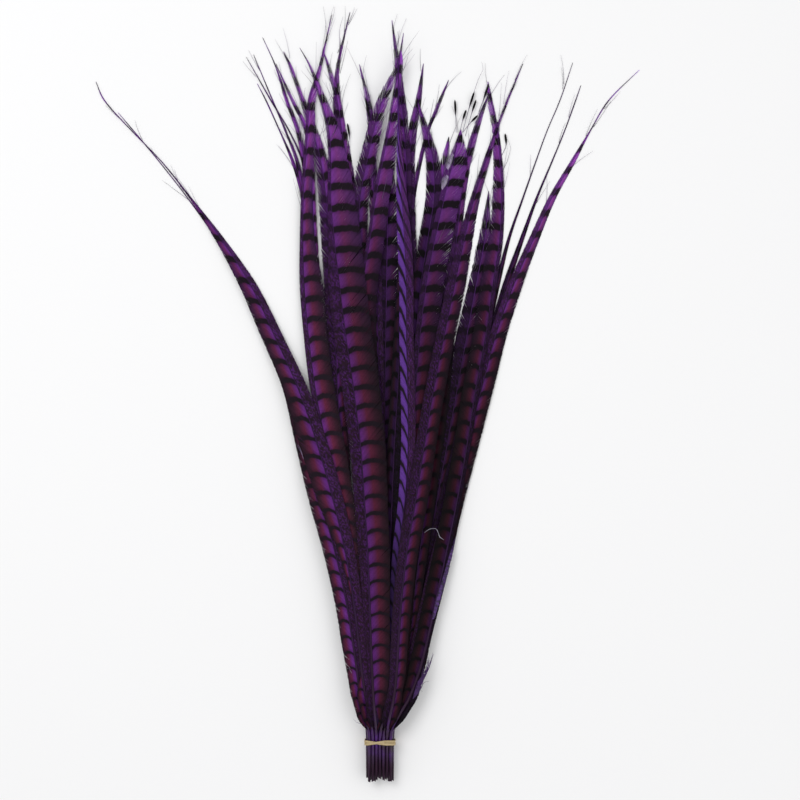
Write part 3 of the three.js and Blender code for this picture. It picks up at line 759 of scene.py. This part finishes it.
class Tree:
    """A node tree under construction. Most methods add a node and return its output as a Value."""

    def __init__(self, name, kind):
        self.hold(bpy.data.node_groups.new(name, kind))

    def hold(self, tree):
        self.tree, self.nodes, self.links = tree, tree.nodes, tree.links

    def declare(self, inputs, outputs, output_kind="Float"):
        """Give the tree its inputs, each with its default number or its kind, and its outputs."""
        face = self.tree.interface
        for name, default in inputs.items():
            kind = default if isinstance(default, str) else "Float"
            socket = face.new_socket(name, in_out="INPUT", socket_type=f"NodeSocket{kind}")
            if kind == "Float":
                socket.default_value = default
        for name in outputs:
            face.new_socket(name, in_out="OUTPUT", socket_type=f"NodeSocket{output_kind}")
        self.result = self.nodes.new("NodeGroupOutput").inputs
        given = self.nodes.new("NodeGroupInput").outputs
        return {name: Value(self, given[name]) for name in inputs}

    def feed(self, socket, value):
        """Link one value or a list of them to a socket, or set its constant."""
        if isinstance(value, (Value, list)):
            for each in value if isinstance(value, list) else [value]:
                self.links.new(each.socket, socket)
        else:
            socket.default_value = value

    def add(self, kind, inputs=None, output=0, **settings):
        node = self.nodes.new(kind)
        for key, value in settings.items():
            setattr(node, key, value)
        for key, value in (inputs or {}).items():
            self.feed(node.inputs[key], value)
        return Value(self, node.outputs[output])

    def math(self, operation, a, b=0.0):
        return self.add("ShaderNodeMath", {0: a, 1: b}, operation=operation)

    def between(self, value, low, high):
        return self.math("MINIMUM", self.math("MAXIMUM", value, low), high)

    def rescale(self, value, from_low, from_high, to_low=0.0, to_high=1.0, curve="LINEAR"):
        numbers = dict(enumerate((value, from_low, from_high, to_low, to_high)))
        return self.add("ShaderNodeMapRange", numbers, interpolation_type=curve)

    def combine(self, x, y, z=0.0):
        return self.add("ShaderNodeCombineXYZ", {"X": x, "Y": y, "Z": z})

    def noise(self, place, detail, scale=1.0, roughness=0.5):
        inputs = {"Vector": place, "Scale": scale, "Detail": detail, "Roughness": roughness}
        return self.add("ShaderNodeTexNoise", inputs, output="Fac")

    def scale(self, vector, factor):
        return self.add("ShaderNodeVectorMath", {0: vector, "Scale": factor}, operation="SCALE")


BARB_INPUTS = {
    "Vane Surface": "Geometry",
    "Spacing": 0.0009,
    "Overlap": 1.7,
    "Vane Length": 0.7,
    "Sweep": 1.15,
    "Least Sweep": 0.009,
    "Split Depth": 0.007,
    "Lock Length": 0.011,
    "Rag": 0.3,
    "Barred Side": 1.0,
    "Tint": 0.5,
    "Light": 1.0,
    "Low Light": 1.0,
    "Dim Below": 0.55,
    "Clear Above": 0.85,
    "Slant": 0.0,
    "Seed": "Int",
    "Shaft": "Object",
    "Vane Material": "Material",
}


def barb_tree():
    """Barbs on both sides of a rachis, each a narrow strip on the vane's surface."""
    t = Tree("Barbs", "GeometryNodeTree")
    given = t.declare(BARB_INPUTS, ("Geometry",), "Geometry")
    spacing, vane_length, lock_length = given["Spacing"], given["Vane Length"], given["Lock Length"]

    def chance(low, high, ident, seed):
        inputs = {2: low, 3: high, "ID": ident, "Seed": given["Seed"] + seed}
        return t.add("FunctionNodeRandomValue", inputs, output=1, data_type="FLOAT")

    def keep(geometry, name, value, kind="FLOAT", domain="POINT"):
        inputs = {"Geometry": geometry, "Name": name, "Value": value}
        return t.add("GeometryNodeStoreNamedAttribute", inputs, data_type=kind, domain=domain)

    def kept(name, kind="FLOAT"):
        return t.add("GeometryNodeInputNamedAttribute", {"Name": name}, data_type=kind)

    def on_surface(value, place, kind="FLOAT"):
        inputs = {
            "Mesh": given["Vane Surface"],
            "Value": value,
            "UV Map": kept("place", "FLOAT_VECTOR"),
            "Sample UV": place,
        }
        return t.add("GeometryNodeSampleUVSurface", inputs, output="Value", data_type=kind)

    def place_of(across, along):
        u = t.between(t.rescale(across, -SURFACE_REACH, SURFACE_REACH), 0.001, 0.999)
        return t.combine(u, t.between(along / vane_length, 0.001, 0.999))

    # One point for each barb, on the left and on the right in turn
    pairs = t.math("FLOOR", vane_length / spacing)
    line = t.add("GeometryNodeMeshLine", {"Count": pairs * 2, "Offset": (0, 0, 0)}, mode="OFFSET")
    index = t.add("GeometryNodeInputIndex")
    pair = t.math("FLOOR", index / 2)
    line = keep(line, "root", (pair + chance(0.3, 0.7, index, 1)) * spacing)
    line = keep(line, "side", t.rescale(index % 2, 0, 1, -1, 1))
    line = keep(line, "barb", chance(0, 1, index, 2))

    # The strip of a barb: x runs from the rachis to the edge, and y across the barb
    size = {"Size X": 1, "Size Y": 2, "Vertices X": BARB_STEPS + 1, "Vertices Y": 2}
    strip = t.add("GeometryNodeMeshGrid", size)
    strip = t.add("GeometryNodeTransform", {"Geometry": strip, "Translation": (0.5, 0, 0)})
    barbs = t.add("GeometryNodeInstanceOnPoints", {"Points": line, "Instance": strip})
    barbs = t.add("GeometryNodeRealizeInstances", {"Geometry": barbs})
    position = t.add("GeometryNodeInputPosition")
    for axis, name in enumerate(("out", "over")):
        barbs = keep(barbs, name, t.add("ShaderNodeSeparateXYZ", {0: position}, axis))
    root, side, barb, out, over = map(kept, ("root", "side", "barb", "out", "over"))

    # How far the barb leans, from the width of the vane where it is rooted
    width = on_surface(kept("width"), place_of(side * 0.5, root))
    to_tip = root / vane_length
    least = given["Least Sweep"] * t.rescale(to_tip**4.0, 0, 1, 1.0, 3.0)
    lean = t.math("MAXIMUM", width * given["Sweep"], least)
    lean = t.math("MINIMUM", lean, (vane_length - root) * 0.85)

    # Locks of barbs cling together towards the edge, and neighbouring locks part. A lock's ident differs
    # on the two sides, and each seed gives it another random number.
    wander = t.noise(t.combine(root / (lock_length * 2.3), side * 17.3, given["Seed"]), 3.0)
    counted = root / lock_length + wander * 5.0
    lock = t.math("FLOOR", counted)
    within = counted - lock - 0.5
    ident = lock + side * 500 + 1000
    torn = given["Rag"] * (to_tip**3.5 + 0.07)
    push, held = chance(-1, 1, ident, 3), chance(0, 1, ident + 13, 6)
    parted = push * push * push * push * push * given["Split Depth"] * torn * 1.8
    cling = within * lock_length * (held * held * held * held * -1.0) * t.math("MINIMUM", torn, 0.8)
    outward = out**1.7

    # Where on the surface each point of the strip lies: the strip narrows to the barb's end, and frayed
    # and loose barbs are shorter and longer than the vane is wide
    taper = 1.0 - out**4.0 * 0.3
    open_tip = t.rescale(to_tip, 0.85, 1.0, 1.0, 0.6)
    half_wide = spacing * given["Overlap"] * 0.5 * taper * open_tip
    along = root + lean * out**0.88 + (parted + cling) * outward + over * half_wide
    shorter = chance(0, 1, ident + 7, 4) ** 6.0 * torn * 0.4
    frayed = barb**3.0 * (torn * 0.25 + 0.05)
    loose = t.math("LESS_THAN", barb, 0.07) * torn * 0.45
    across = side * out * (loose + 1.0 - (shorter + frayed))
    place = place_of(across, along)
    normal = on_surface(t.add("GeometryNodeInputNormal"), place, "FLOAT_VECTOR")
    spot = on_surface(t.add("GeometryNodeInputPosition"), place, "FLOAT_VECTOR")
    rise = over * -0.00005 + (barb - 0.5) * 0.00012 * out
    rise = rise + chance(-1, 1, ident, 5) * 0.00022 * torn * outward
    spot = t.add("ShaderNodeVectorMath", {0: spot, 1: t.scale(normal, rise)}, operation="ADD")

    # What the material reads from the barbs
    lights = (given[name] for name in ("Dim Below", "Clear Above", "Low Light", "Light"))
    looks = {
        "bars": on_surface(kept("bars"), place) + given["Slant"] * across,
        "across": across,
        "along": along / vane_length,
        "plain": t.rescale(side * given["Barred Side"], -1, 1),
        "tint": given["Tint"],
        # Painted shade lower down on the feather, passing into the feather's own brightness above
        "light": t.rescale(to_tip, *lights),
    }
    for name, value in looks.items():
        barbs = keep(barbs, name, value)
    u, v = t.rescale(across, -1, 1, *BARB_MAP), t.rescale(looks["along"], 0, 1, 0.005, 0.995)
    barbs = keep(barbs, "OFBake", t.combine(u, v), "FLOAT2", "CORNER")
    barbs = t.add("GeometryNodeSetPosition", {"Geometry": barbs, "Position": spot})
    for name in ("root", "side", "out", "over"):
        barbs = t.add("GeometryNodeRemoveAttribute", {"Geometry": barbs, "Name": name})

    # The shaft keeps its own material
    shaft = t.add("GeometryNodeObjectInfo", {"Object": given["Shaft"]}, output="Geometry")
    whole = t.add("GeometryNodeJoinGeometry", {"Geometry": [barbs, shaft]})
    whole = t.add("GeometryNodeRealizeInstances", {"Geometry": whole})
    is_barb = t.math("LESS_THAN", kept("shaft"), 0.5)
    painted = {"Geometry": whole, "Selection": is_barb, "Material": given["Vane Material"]}
    t.feed(t.result["Geometry"], t.add("GeometryNodeSetMaterial", painted))
    return t.tree


def new_object(name, data):
    """An object in the scene."""
    made = bpy.data.objects.new(name, data)
    bpy.context.scene.collection.objects.link(made)
    return made


def run_tree(name, mesh, tree, values):
    """The plain mesh that a Geometry Nodes tree makes of a mesh, with these input values."""
    carrier = new_object(name, mesh)
    modifier = carrier.modifiers.new("Build", "NODES")
    modifier.node_group = tree
    for item in tree.interface.items_tree:
        if item.in_out == "INPUT" and item.name in values:
            modifier[item.identifier] = values[item.name]
    bpy.context.view_layer.update()
    depsgraph = bpy.context.evaluated_depsgraph_get()
    made = bpy.data.meshes.new_from_object(
        carrier.evaluated_get(depsgraph), preserve_all_data_layers=True, depsgraph=depsgraph
    )
    bpy.data.objects.remove(carrier)
    return made


# Effects that several materials use. Each gives its outputs in the order that SHADER_GROUPS names.


def mottle(t, place, scale, contrast):
    """Cloudy patches."""
    noise = t.noise(place, 4.0, scale, 0.6)
    return t.rescale(noise, 0.35, 0.65) ** contrast, noise


def barb_streaks(t, along, across, barb, strength):
    """Fine streaks that run along the barbs, and a tone of its own for each barb."""
    noise = t.noise(t.combine(along * 900.0, across * 3.0, barb * 40.0), 3.0)
    mixed = (noise - 0.5) * 1.4 + t.rescale(barb, 0, 1, -0.5, 0.5) * 0.55
    return mixed * strength + 1.0, noise


def feather_bars(t, bars, across, shift, arch, dark_share):
    """Where the dark bars lie, arched over each vane, and how deep into the cell between two bars each
    place lies.
    """
    middle = t.math("ABSOLUTE", across) * 2.0 - 1.0
    wobble = (t.noise(t.combine(bars * 2.2, across * 3.5, shift), 3.0) - 0.5) * 0.22
    phase = bars + wobble - middle * middle * arch + 0.5
    apart = t.math("ABSOLUTE", t.math("FRACT", phase) - 0.5)
    half = dark_share * 0.5
    bar = t.rescale(apart, half - 0.035, half + 0.05, 1.0, 0.0, curve="SMOOTHSTEP")
    return bar, t.rescale(apart, half, 0.5)


def vane_speckles(t, bars, across, shift):
    """Short crooked speckles in rows, as on the finely marked vane."""
    warp = t.noise(t.combine(bars * 3.0, across * 5.0, shift), 2.0)
    place = t.combine(bars * 9.0 + warp * 3.0, across * 7.0 + warp * 4.0, shift)
    return (t.rescale(t.noise(place, 2.0, roughness=0.4), 0.47, 0.6, curve="SMOOTHSTEP"),)


SHADER_GROUPS = {
    "Mottle": (mottle, {"Vector": "Vector", "Scale": 40.0, "Contrast": 1.0}, ("Mask", "Height")),
    "BarbStreaks": (
        barb_streaks,
        {"Along": 0.0, "Across": 0.0, "Barb": 0.0, "Strength": 0.5},
        ("Tone", "Height"),
    ),
    "FeatherBars": (
        feather_bars,
        {"Bars": 0.0, "Across": 0.0, "Shift": 0.0, "Arch": 0.2, "Dark Share": 0.25},
        ("Bar", "Cell"),
    ),
    "VaneSpeckles": (vane_speckles, {"Bars": 0.0, "Across": 0.0, "Shift": 0.0}, ("Speckle",)),
}


def shader_group(name):
    """The node group of a shared effect, built the first time that a material asks for it."""
    if name not in bpy.data.node_groups:
        build, inputs, outputs = SHADER_GROUPS[name]
        t = Tree(name, "ShaderNodeTree")
        given = t.declare(inputs, outputs)
        for output, value in zip(outputs, build(t, *given.values())):
            t.feed(t.result[output], value)
    return bpy.data.node_groups[name]


# Materials


class Material(Tree):
    """A material under construction, with its Principled shader at hand."""

    def __init__(self, name):
        self.material = bpy.data.materials.new(name)
        self.material.use_nodes = True
        self.hold(self.material.node_tree)

    def effect(self, name, inputs):
        """The outputs of a shared effect, by name."""
        node = self.add("ShaderNodeGroup", node_tree=shader_group(name)).socket.node
        for key, value in inputs.items():
            self.feed(node.inputs[key], value)
        return {socket.name: Value(self, socket) for socket in node.outputs}

    def mottle(self, place, scale, contrast=1.0):
        return self.effect("Mottle", {"Vector": place, "Scale": scale, "Contrast": contrast})

    def attributes(self, *names):
        return [self.add("ShaderNodeAttribute", output="Fac", attribute_name=name) for name in names]

    def object_place(self):
        return self.add("ShaderNodeTexCoord", output="Object")

    def stretch(self, place, factors):
        return self.add("ShaderNodeVectorMath", {0: place, 1: factors}, operation="MULTIPLY")

    def mix(self, share, first, second, blend="MIX"):
        inputs = {0: share, 6: first, 7: second}
        return self.add("ShaderNodeMix", inputs, 2, data_type="RGBA", blend_type=blend)

    def ramp(self, share, stops):
        """Colours that pass into one another. stops: the share that each is at, and the colour."""
        result = self.add("ShaderNodeValToRGB", {"Fac": share}, output="Color")
        elements = result.socket.node.color_ramp.elements
        elements.remove(elements[0])
        for number, (place, shade) in enumerate(stops):
            stop = elements.new(place) if number else elements[0]
            stop.position, stop.color = place, shade
        return result

    def bump(self, height, strength, distance):
        inputs = {"Height": height, "Strength": strength, "Distance": distance}
        return self.add("ShaderNodeBump", inputs)

    def finished(self, **values):
        """The material, with these values on the shader's sockets: base_color is Base Color."""
        sockets = self.nodes["Principled BSDF"].inputs
        by_name = {socket.name.lower().replace(" ", "_"): socket for socket in sockets}
        for name, value in values.items():
            self.feed(by_name[name], value)
        return self.material


def vane_material(settings):
    """Dyed barbs: wide barred cells on one vane, fine speckles on the other."""
    m = Material("dyed_vane")
    names = ("bars", "across", "along", "barb", "tint", "light", "plain")
    bars, across, along, barb, tint, light, plain = m.attributes(*names)
    out = m.math("ABSOLUTE", across)
    to_tip = m.rescale(along, 0.35, 1.0)
    marks = {"Bars": bars, "Across": across, "Shift": tint * 31.7}
    arch, dark_share = m.rescale(along, 0.2, 0.9, 0.24, 0.05), m.rescale(along, 0.1, 0.95, 0.17, 0.36)
    barred = m.effect("FeatherBars", {**marks, "Arch": arch, "Dark Share": dark_share})
    speckles = m.effect("VaneSpeckles", marks)
    inputs = {"Along": along, "Across": across, "Barb": barb, "Strength": 0.55}
    streaks = m.effect("BarbStreaks", inputs)

    # The barred vane: violet by the rachis, then maroon, then nearly black. The colours are partly dye,
    # partly painted sheen by the rachis and painted shade towards the edge
    cool = 1.0 - tint
    reach = out + cool * cool * cool * -0.5 - m.rescale(along, 0.1, 0.5, 0.14, 0.0)
    dye_sheen_and_shade = settings.violet, settings.maroon, settings.deep, settings.edge
    cells = m.ramp(reach, zip((0.02, 0.3, 0.62, 0.92), dye_sheen_and_shade))
    cells = m.mix(tint * 0.8, cells, m.mix(1.0, cells, WARM_DYE, "MULTIPLY"))
    # Painted light: towards the tip the dye passes into the pale tip colour, standing for light shining
    # through the thin vane
    pale = to_tip**4.0 * 0.95
    cells = m.mix(pale, cells, settings.tip)
    # Blue violet: dye, and on the rolled strip, whose tint is below 0, a painted reflection
    cells = m.mix(cool**8.0 * 0.4, cells, settings.blue)
    cells = m.scale(cells, m.rescale(barred["Cell"], 0, 0.6, 0.7, 1.1))
    barred_side = m.mix(barred["Bar"], cells, settings.bar)

    # The other vane: speckles of violet on a dark ground, with smudges at the bars
    # Painted light: the dark ground also passes into the pale tip colour towards the tip
    ground = m.mix(pale * 0.7, settings.dark_vane, settings.tip)
    strong = speckles["Speckle"] * m.rescale(out, 0.2, 1.0, 0.9, 0.4)
    strong = strong * m.rescale(along, 0.2, 0.7, 0.65, 1.0)
    speckled = m.mix(strong, ground, settings.speckle)
    smudge = barred["Bar"] * m.rescale(to_tip, 0.3, 0.9, 0.35, 1.0)
    speckled_side = m.mix(smudge, speckled, settings.bar)

    dye = m.mix(plain, speckled_side, barred_side)
    # Painted shade near the quills at the base, and painted light brightening the vane towards its tip
    painted_base_shade_and_tip_light = m.rescale(along, 0.02, 0.07, 0.45, 1.0) * m.rescale(to_tip, 0.5, 1.0, 1.0, 1.35)
    return m.finished(
        base_color=m.scale(dye, streaks["Tone"] * light * painted_base_shade_and_tip_light),
        roughness=m.rescale(barred["Bar"], 0, 1, 0.55, 0.66),
        specular_ior_level=0.06,
        normal=m.bump(streaks["Height"], 0.25, 0.0002),
    )


def shaft_material(settings):
    """Rachis and quill: horn under the dye, glossier near the band, with painted glints in patches there
    and painted shade in the cut quill's hollow.
    """
    m = Material("dyed_shaft")
    along, own, inside, hair = m.attributes("along", "barb", "inside", "hair")
    place = m.object_place()
    grain = m.mottle(m.stretch(place, (900.0, 60.0, 900.0)), 1.0, 1.2)
    # Painted glints: brighter violet patches in the quills' colour near the band, besides the real
    # glossy coat there
    near_band = m.rescale(along, 0.02, 0.04) * m.rescale(along, 0.07, 0.11, 1, 0)
    painted_glint = m.mottle(place, 55.0, 1.6)["Mask"] * m.rescale(own, 0, 1, 0.3, 1.0) * near_band
    body = m.mix(painted_glint, settings.quill, settings.glint)
    body = m.mix(m.rescale(along, 0.08, 0.3), body, settings.rachis)
    body = m.mix(m.rescale(along, 0.7, 0.95), body, settings.thin_rachis)
    body = m.mix(hair, body, m.mix(own, settings.hair, settings.pale_hair))
    body = m.scale(body, m.rescale(grain["Mask"], 0, 1, 0.75, 1.25))
    return m.finished(
        # Near black: painted shade in the cut quill's hollow, and the dark ends of the single barbs
        base_color=m.mix(inside, body, HOLLOW_SHADE_AND_BARB_ENDS),
        roughness=m.rescale(along, 0.05, 0.35, 0.3, 0.5),
        specular_ior_level=0.1,
        coat_weight=near_band * 0.5,
        coat_roughness=0.2,
        normal=m.bump(grain["Height"], 0.3, 0.0002),
    )


def rubber_material(settings):
    m = Material("tan_rubber")
    place = m.object_place()
    patches = m.mottle(place, 420.0)["Mask"]
    ribs = m.mottle(m.stretch(place, (60.0, 2600.0, 60.0)), 1.0)
    return m.finished(
        base_color=m.mix((patches + ribs["Mask"]) * 0.5, settings.rubber, settings.worn),
        roughness=m.rescale(patches, 0, 1, 0.45, 0.62),
        subsurface_weight=0.05,
        normal=m.bump(ribs["Height"], 0.4, 0.0003),
    )


def fibre_material(name, shade, scale=260.0, darkest=0.6, lightest=1.3):
    m = Material(name)
    patches = m.mottle(m.object_place(), scale)["Mask"]
    return m.finished(
        base_color=m.scale(shade[:3], m.rescale(patches, 0, 1, darkest, lightest)),
        roughness=m.rescale(patches, 0, 1, 0.5, 0.7),
    )


def place_piece(name, mesh, slot, *nodes):
    """A finished piece at the origin, riding on the bunch in place of its solids."""
    piece = new_object(name, mesh)
    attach(piece, "root")
    if nodes:
        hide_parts(*nodes)


# Operators


class BUNCH_OT_tail_feathers(bpy.types.Operator):
    """Build the thirty tail feathers, each with its shaft and its barbs"""

    bl_idname = "bunch.tail_feathers"
    bl_label = "Tail Feathers"

    def execute(self, context):
        vane, shaft = context.scene.bunch_vane, context.scene.bunch_shaft
        vane_look, shaft_look = vane_material(vane), shaft_material(shaft)
        tree = barb_tree()
        for index, (name, marks) in enumerate(FEATHERS.items()):
            feather = Feather(name, marks, index)
            stem = bpy.data.objects.new("stem", shaft_mesh(feather, shaft, shaft_look))
            values = {
                "Spacing": vane.barb_spacing * 1,
                "Overlap": vane.barb_overlap,
                "Vane Length": feather.vane_length,
                "Sweep": vane.sweep,
                "Least Sweep": vane.least_sweep,
                "Split Depth": vane.split_depth,
                "Lock Length": vane.lock_length,
                "Rag": marks.rag,
                "Barred Side": 1.0 if marks.barred == "right" else -1.0,
                "Tint": marks.tint,
                "Light": marks.light,
                "Low Light": marks.light if marks.low is None else marks.low,
                "Dim Below": marks.dim[0],
                "Clear Above": marks.dim[1],
                "Slant": marks.slant,
                "Seed": index * BARB_SEED_STEP,
                "Shaft": stem,
                "Vane Material": vane_look,
            }
            mesh = run_tree(feather.node, vane_surface(feather, vane.camber), tree, values)
            bpy.data.objects.remove(stem)
            place_piece(f"tail_{name}", mesh, "dyed_feather", feather.node)
        return {"FINISHED"}


def band_path(centre, half_wide, half_tall):
    """Points round a rectangle with round corners, each with the direction that is outward there."""
    straight = [2 * (half_tall - BAND_CORNER), 2 * (half_wide - BAND_CORNER)] * 2
    arc = BAND_CORNER * math.pi / 2
    corners = [(1, 1), (-1, 1), (-1, -1), (1, -1)]
    path = []
    for way in np.arange(BAND_STEPS) / BAND_STEPS * (sum(straight) + 4 * arc):
        for k, (right, up) in enumerate(corners):
            x = centre[0] + right * (half_wide - BAND_CORNER)
            z = centre[1] + up * (half_tall - BAND_CORNER)
            back = max(straight[k] - way, 0)
            way -= straight[k]
            if way <= arc:
                start = k * math.pi / 2
                turn = start + max(way, 0) / BAND_CORNER
                out = Vector((math.cos(turn), math.sin(turn)))
                before = Vector((math.sin(start), -math.cos(start))) * back
                path.append((Vector((x, z)) + out * BAND_CORNER + before, out))
                break
            way -= arc
    return path


class BUNCH_OT_rubber_band(bpy.types.Operator):
    """Build the rubber band, one loop wound twice round the quills and crossing itself once"""

    bl_idname = "bunch.rubber_band"
    bl_label = "Rubber Band"

    def execute(self, context):
        settings = context.scene.bunch_band
        low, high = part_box("rubber_band")
        half_thick, half_wide = settings.strand_thickness / 2, settings.strand_width / 2
        path = band_path(
            ((low.x + high.x) / 2, (low.z + high.z) / 2),
            (high.x - low.x) / 2 - half_thick - BAND_RISE,
            (high.z - low.z) / 2 - half_thick - BAND_RISE,
        )
        apart = (high.y - low.y) / 2 - half_wide
        section = 2 * math.pi * np.arange(BAND_SIDES) / BAND_SIDES
        wide, thick = (
            np.copysign(np.abs(part) ** BAND_SQUARENESS, part) * half
            for part, half in ((np.cos(section), half_wide), (np.sin(section), half_thick))
        )
        rings = []
        for step in range(2 * BAND_STEPS):
            turn = step / BAND_STEPS - BAND_CROSSES_AT
            drift = math.cos(math.pi * (turn + 0.5)) * BAND_CROSSES_FAST
            y = (low.y + high.y) / 2 + apart * max(-1.0, min(1.0, drift))
            crossing = math.exp(-(((turn + 1) % 2 - 1) / BAND_CROSSING_SPAN) ** 2)
            lifted = BAND_LIFT + settings.strand_thickness * crossing
            point, out = map(np.array, path[step % BAND_STEPS])
            flat = point + out * (thick + lifted)[:, None]
            rings.append(np.column_stack([flat[:, 0], y + wide, flat[:, 1]]))
        faces = walls(len(rings), BAND_SIDES, round_again=True)
        mesh = smooth_mesh("band", np.concatenate(rings), faces, rubber_material(settings))
        shape = bmesh.new()
        shape.from_mesh(mesh)
        bmesh.ops.recalc_face_normals(shape, faces=shape.faces)
        shape.to_mesh(mesh)
        shape.free()
        place_piece("wound_rubber_band", mesh, "tan_rubber", "rubber_band")
        return {"FINISHED"}


def heights_under(context, flat):
    """The height of the highest piece under each of these places, or the floor's."""
    depsgraph = context.evaluated_depsgraph_get()
    heights = []
    for x, y in flat:
        hit, spot, *_ = context.scene.ray_cast(depsgraph, Vector((x, y, 1)), Vector((0, 0, -1)))
        heights.append(spot.z if hit else 0)
    return np.array(heights)


def loose_row(context, row, half_width, material):
    """A row of barbs, each rising a little from the piece that carries its root."""
    random = np.random.default_rng(LOOSE_SEED)
    roots, ends = through(row["roots"], row["barbs"]), through(row["ends"], row["barbs"])
    way = np.linspace(0, 1, LOOSE_BARB_STEPS)
    parts = Parts()
    for root, end, low in zip(roots, ends, heights_under(context, roots)):
        bow = np.array(row["bow"]) + (random.uniform(-0.6, 0.6) * row["stray"], 0)
        middle = (root + end) / 2 + bow * MM
        end = end + random.uniform(-1, 1, 2) * row["stray"] * MM
        flat = smooth(np.arange(3.0), np.array([root, middle, end]), way * 2)
        z = low + way * random.uniform(*row["rise"]) * MM
        wide = np.interp(way, *LOOSE_BARB_WIDTHS) * half_width
        line = np.column_stack([flat, z])
        parts.take(*fibre(line, wide, LOOSE_BARB_SIDES, LOOSE_BARB_FLATNESS))
    return parts.mesh("loose_barbs", material)


class BUNCH_OT_loose_bits(bpy.types.Operator):
    """Build the curled filament that lies on the bunch and the rows of loose barbs"""

    bl_idname = "bunch.loose_bits"
    bl_label = "Loose Bits"

    def execute(self, context):
        settings = context.scene.bunch_loose
        flat = through(FILAMENT, FILAMENT_STEPS)
        under = heights_under(context, flat)
        near = FILAMENT_STEPS // 12
        lying = [under[max(k - near, 0) : k + near + 1].max() for k in range(len(under))]
        line = np.column_stack([flat, np.array(lying) + settings.filament_radius])
        radii = np.interp(np.linspace(0, 1, len(line)), *FILAMENT_WIDTHS) * settings.filament_radius
        material = fibre_material("grey_filament", settings.filament)
        mesh = smooth_mesh("filament", *fibre(line, radii, FILAMENT_SIDES), material)
        place_piece("curled_filament", mesh, "dyed_feather")

        looks = {
            "tuft": fibre_material("purple_tuft", settings.tuft),
            "fringe": fibre_material("speckled_fringe", settings.fringe, 380.0, 0.1, 1.75),
            "pale": fibre_material("pale_barbs", settings.pale),
        }
        for name, row in LOOSE_ROWS.items():
            mesh = loose_row(context, row, settings.barb_width, looks[row["colour"]])
            place_piece(name, mesh, "dyed_feather")
        return {"FINISHED"}


class BUNCH_OT_stage(bpy.types.Operator):
    """Build the floor, the lights and the camera"""

    bl_idname = "bunch.stage"
    bl_label = "Stage"

    def execute(self, context):
        settings = context.scene.bunch_stage
        mesh = bpy.data.meshes.new("floor")
        signs = ((-1, -1), (1, -1), (1, 1), (-1, 1))
        corners = [(x * FLOOR_HALF, y * FLOOR_HALF, 0) for x, y in signs]
        mesh.from_pydata(corners, [], [[0, 1, 2, 3]])
        look = Material("pale_floor").finished(
            base_color=settings.floor, roughness=0.9, specular_ior_level=0.1
        )
        mesh.materials.append(look)
        floor = new_object("floor", mesh)
        floor.location.z = -FLOOR_DROP

        world = bpy.data.worlds.new("studio")
        world.use_nodes = True
        background = world.node_tree.nodes["Background"]
        background.inputs["Color"].default_value = SKY
        background.inputs["Strength"].default_value = settings.sky
        context.scene.world = world

        aim = Vector((settings.aim_x, settings.aim_y, 0))
        lamps = (
            ("key", (-1.0, 0.8, 2.3), 1.3, settings.key_power),
            ("fill", (1.6, -0.6, 1.9), 1.8, settings.key_power * 0.35),
        )
        for name, place, size, power in lamps:
            data = bpy.data.lights.new(name, "AREA")
            data.size, data.energy = size, power
            lamp = new_object(name, data)
            lamp.location = place
            lamp.rotation_mode = "QUATERNION"
            lamp.rotation_quaternion = (aim - lamp.location).to_track_quat("-Z", "Y")
            lamp.visible_camera = False

        lens = bpy.data.cameras.new("camera")
        lens.sensor_width = 36
        lens.lens = lens.sensor_width * (settings.camera_height - HEIGHT_OF_BUNCH) / settings.view_width
        lens.clip_end = 100
        camera = new_object("camera", lens)
        camera.location = (aim.x, aim.y, settings.camera_height)
        context.scene.camera = camera
        context.scene.view_settings.view_transform = "Standard"
        return {"FINISHED"}


class BUNCH_PT_panel(bpy.types.Panel):
    """Lists the pieces and their settings"""

    bl_idname = "BUNCH_PT_panel"
    bl_label = "Feather Bunch"
    bl_space_type = "VIEW_3D"
    bl_region_type = "UI"
    bl_category = "Feather Bunch"

    def draw(self, context):
        for operator, groups in STEPS:
            box = self.layout.box()
            box.operator(operator)
            for group in groups:
                settings = getattr(context.scene, group)
                for key in settings.__annotations__:
                    box.prop(settings, key)


SETTINGS = {
    "bunch_vane": VaneSettings,
    "bunch_shaft": ShaftSettings,
    "bunch_band": BandSettings,
    "bunch_loose": LooseSettings,
    "bunch_stage": StageSettings,
}
STEPS = (
    ("bunch.tail_feathers", ("bunch_vane", "bunch_shaft")),
    ("bunch.rubber_band", ("bunch_band",)),
    ("bunch.loose_bits", ("bunch_loose",)),
    ("bunch.stage", ("bunch_stage",)),
)
CLASSES = (
    *SETTINGS.values(),
    BUNCH_OT_tail_feathers,
    BUNCH_OT_rubber_band,
    BUNCH_OT_loose_bits,
    BUNCH_OT_stage,
    BUNCH_PT_panel,
)


def register():
    for kind in CLASSES:
        bpy.utils.register_class(kind)
    for name, kind in SETTINGS.items():
        setattr(bpy.types.Scene, name, bpy.props.PointerProperty(type=kind))


def unregister():
    for name in SETTINGS:
        delattr(bpy.types.Scene, name)
    for kind in reversed(CLASSES):
        bpy.utils.unregister_class(kind)


def main():
    register()
    for operator, _ in STEPS:
        area, name = operator.split(".")
        getattr(getattr(bpy.ops, area), name)()


if __name__ == "__main__":
    main()
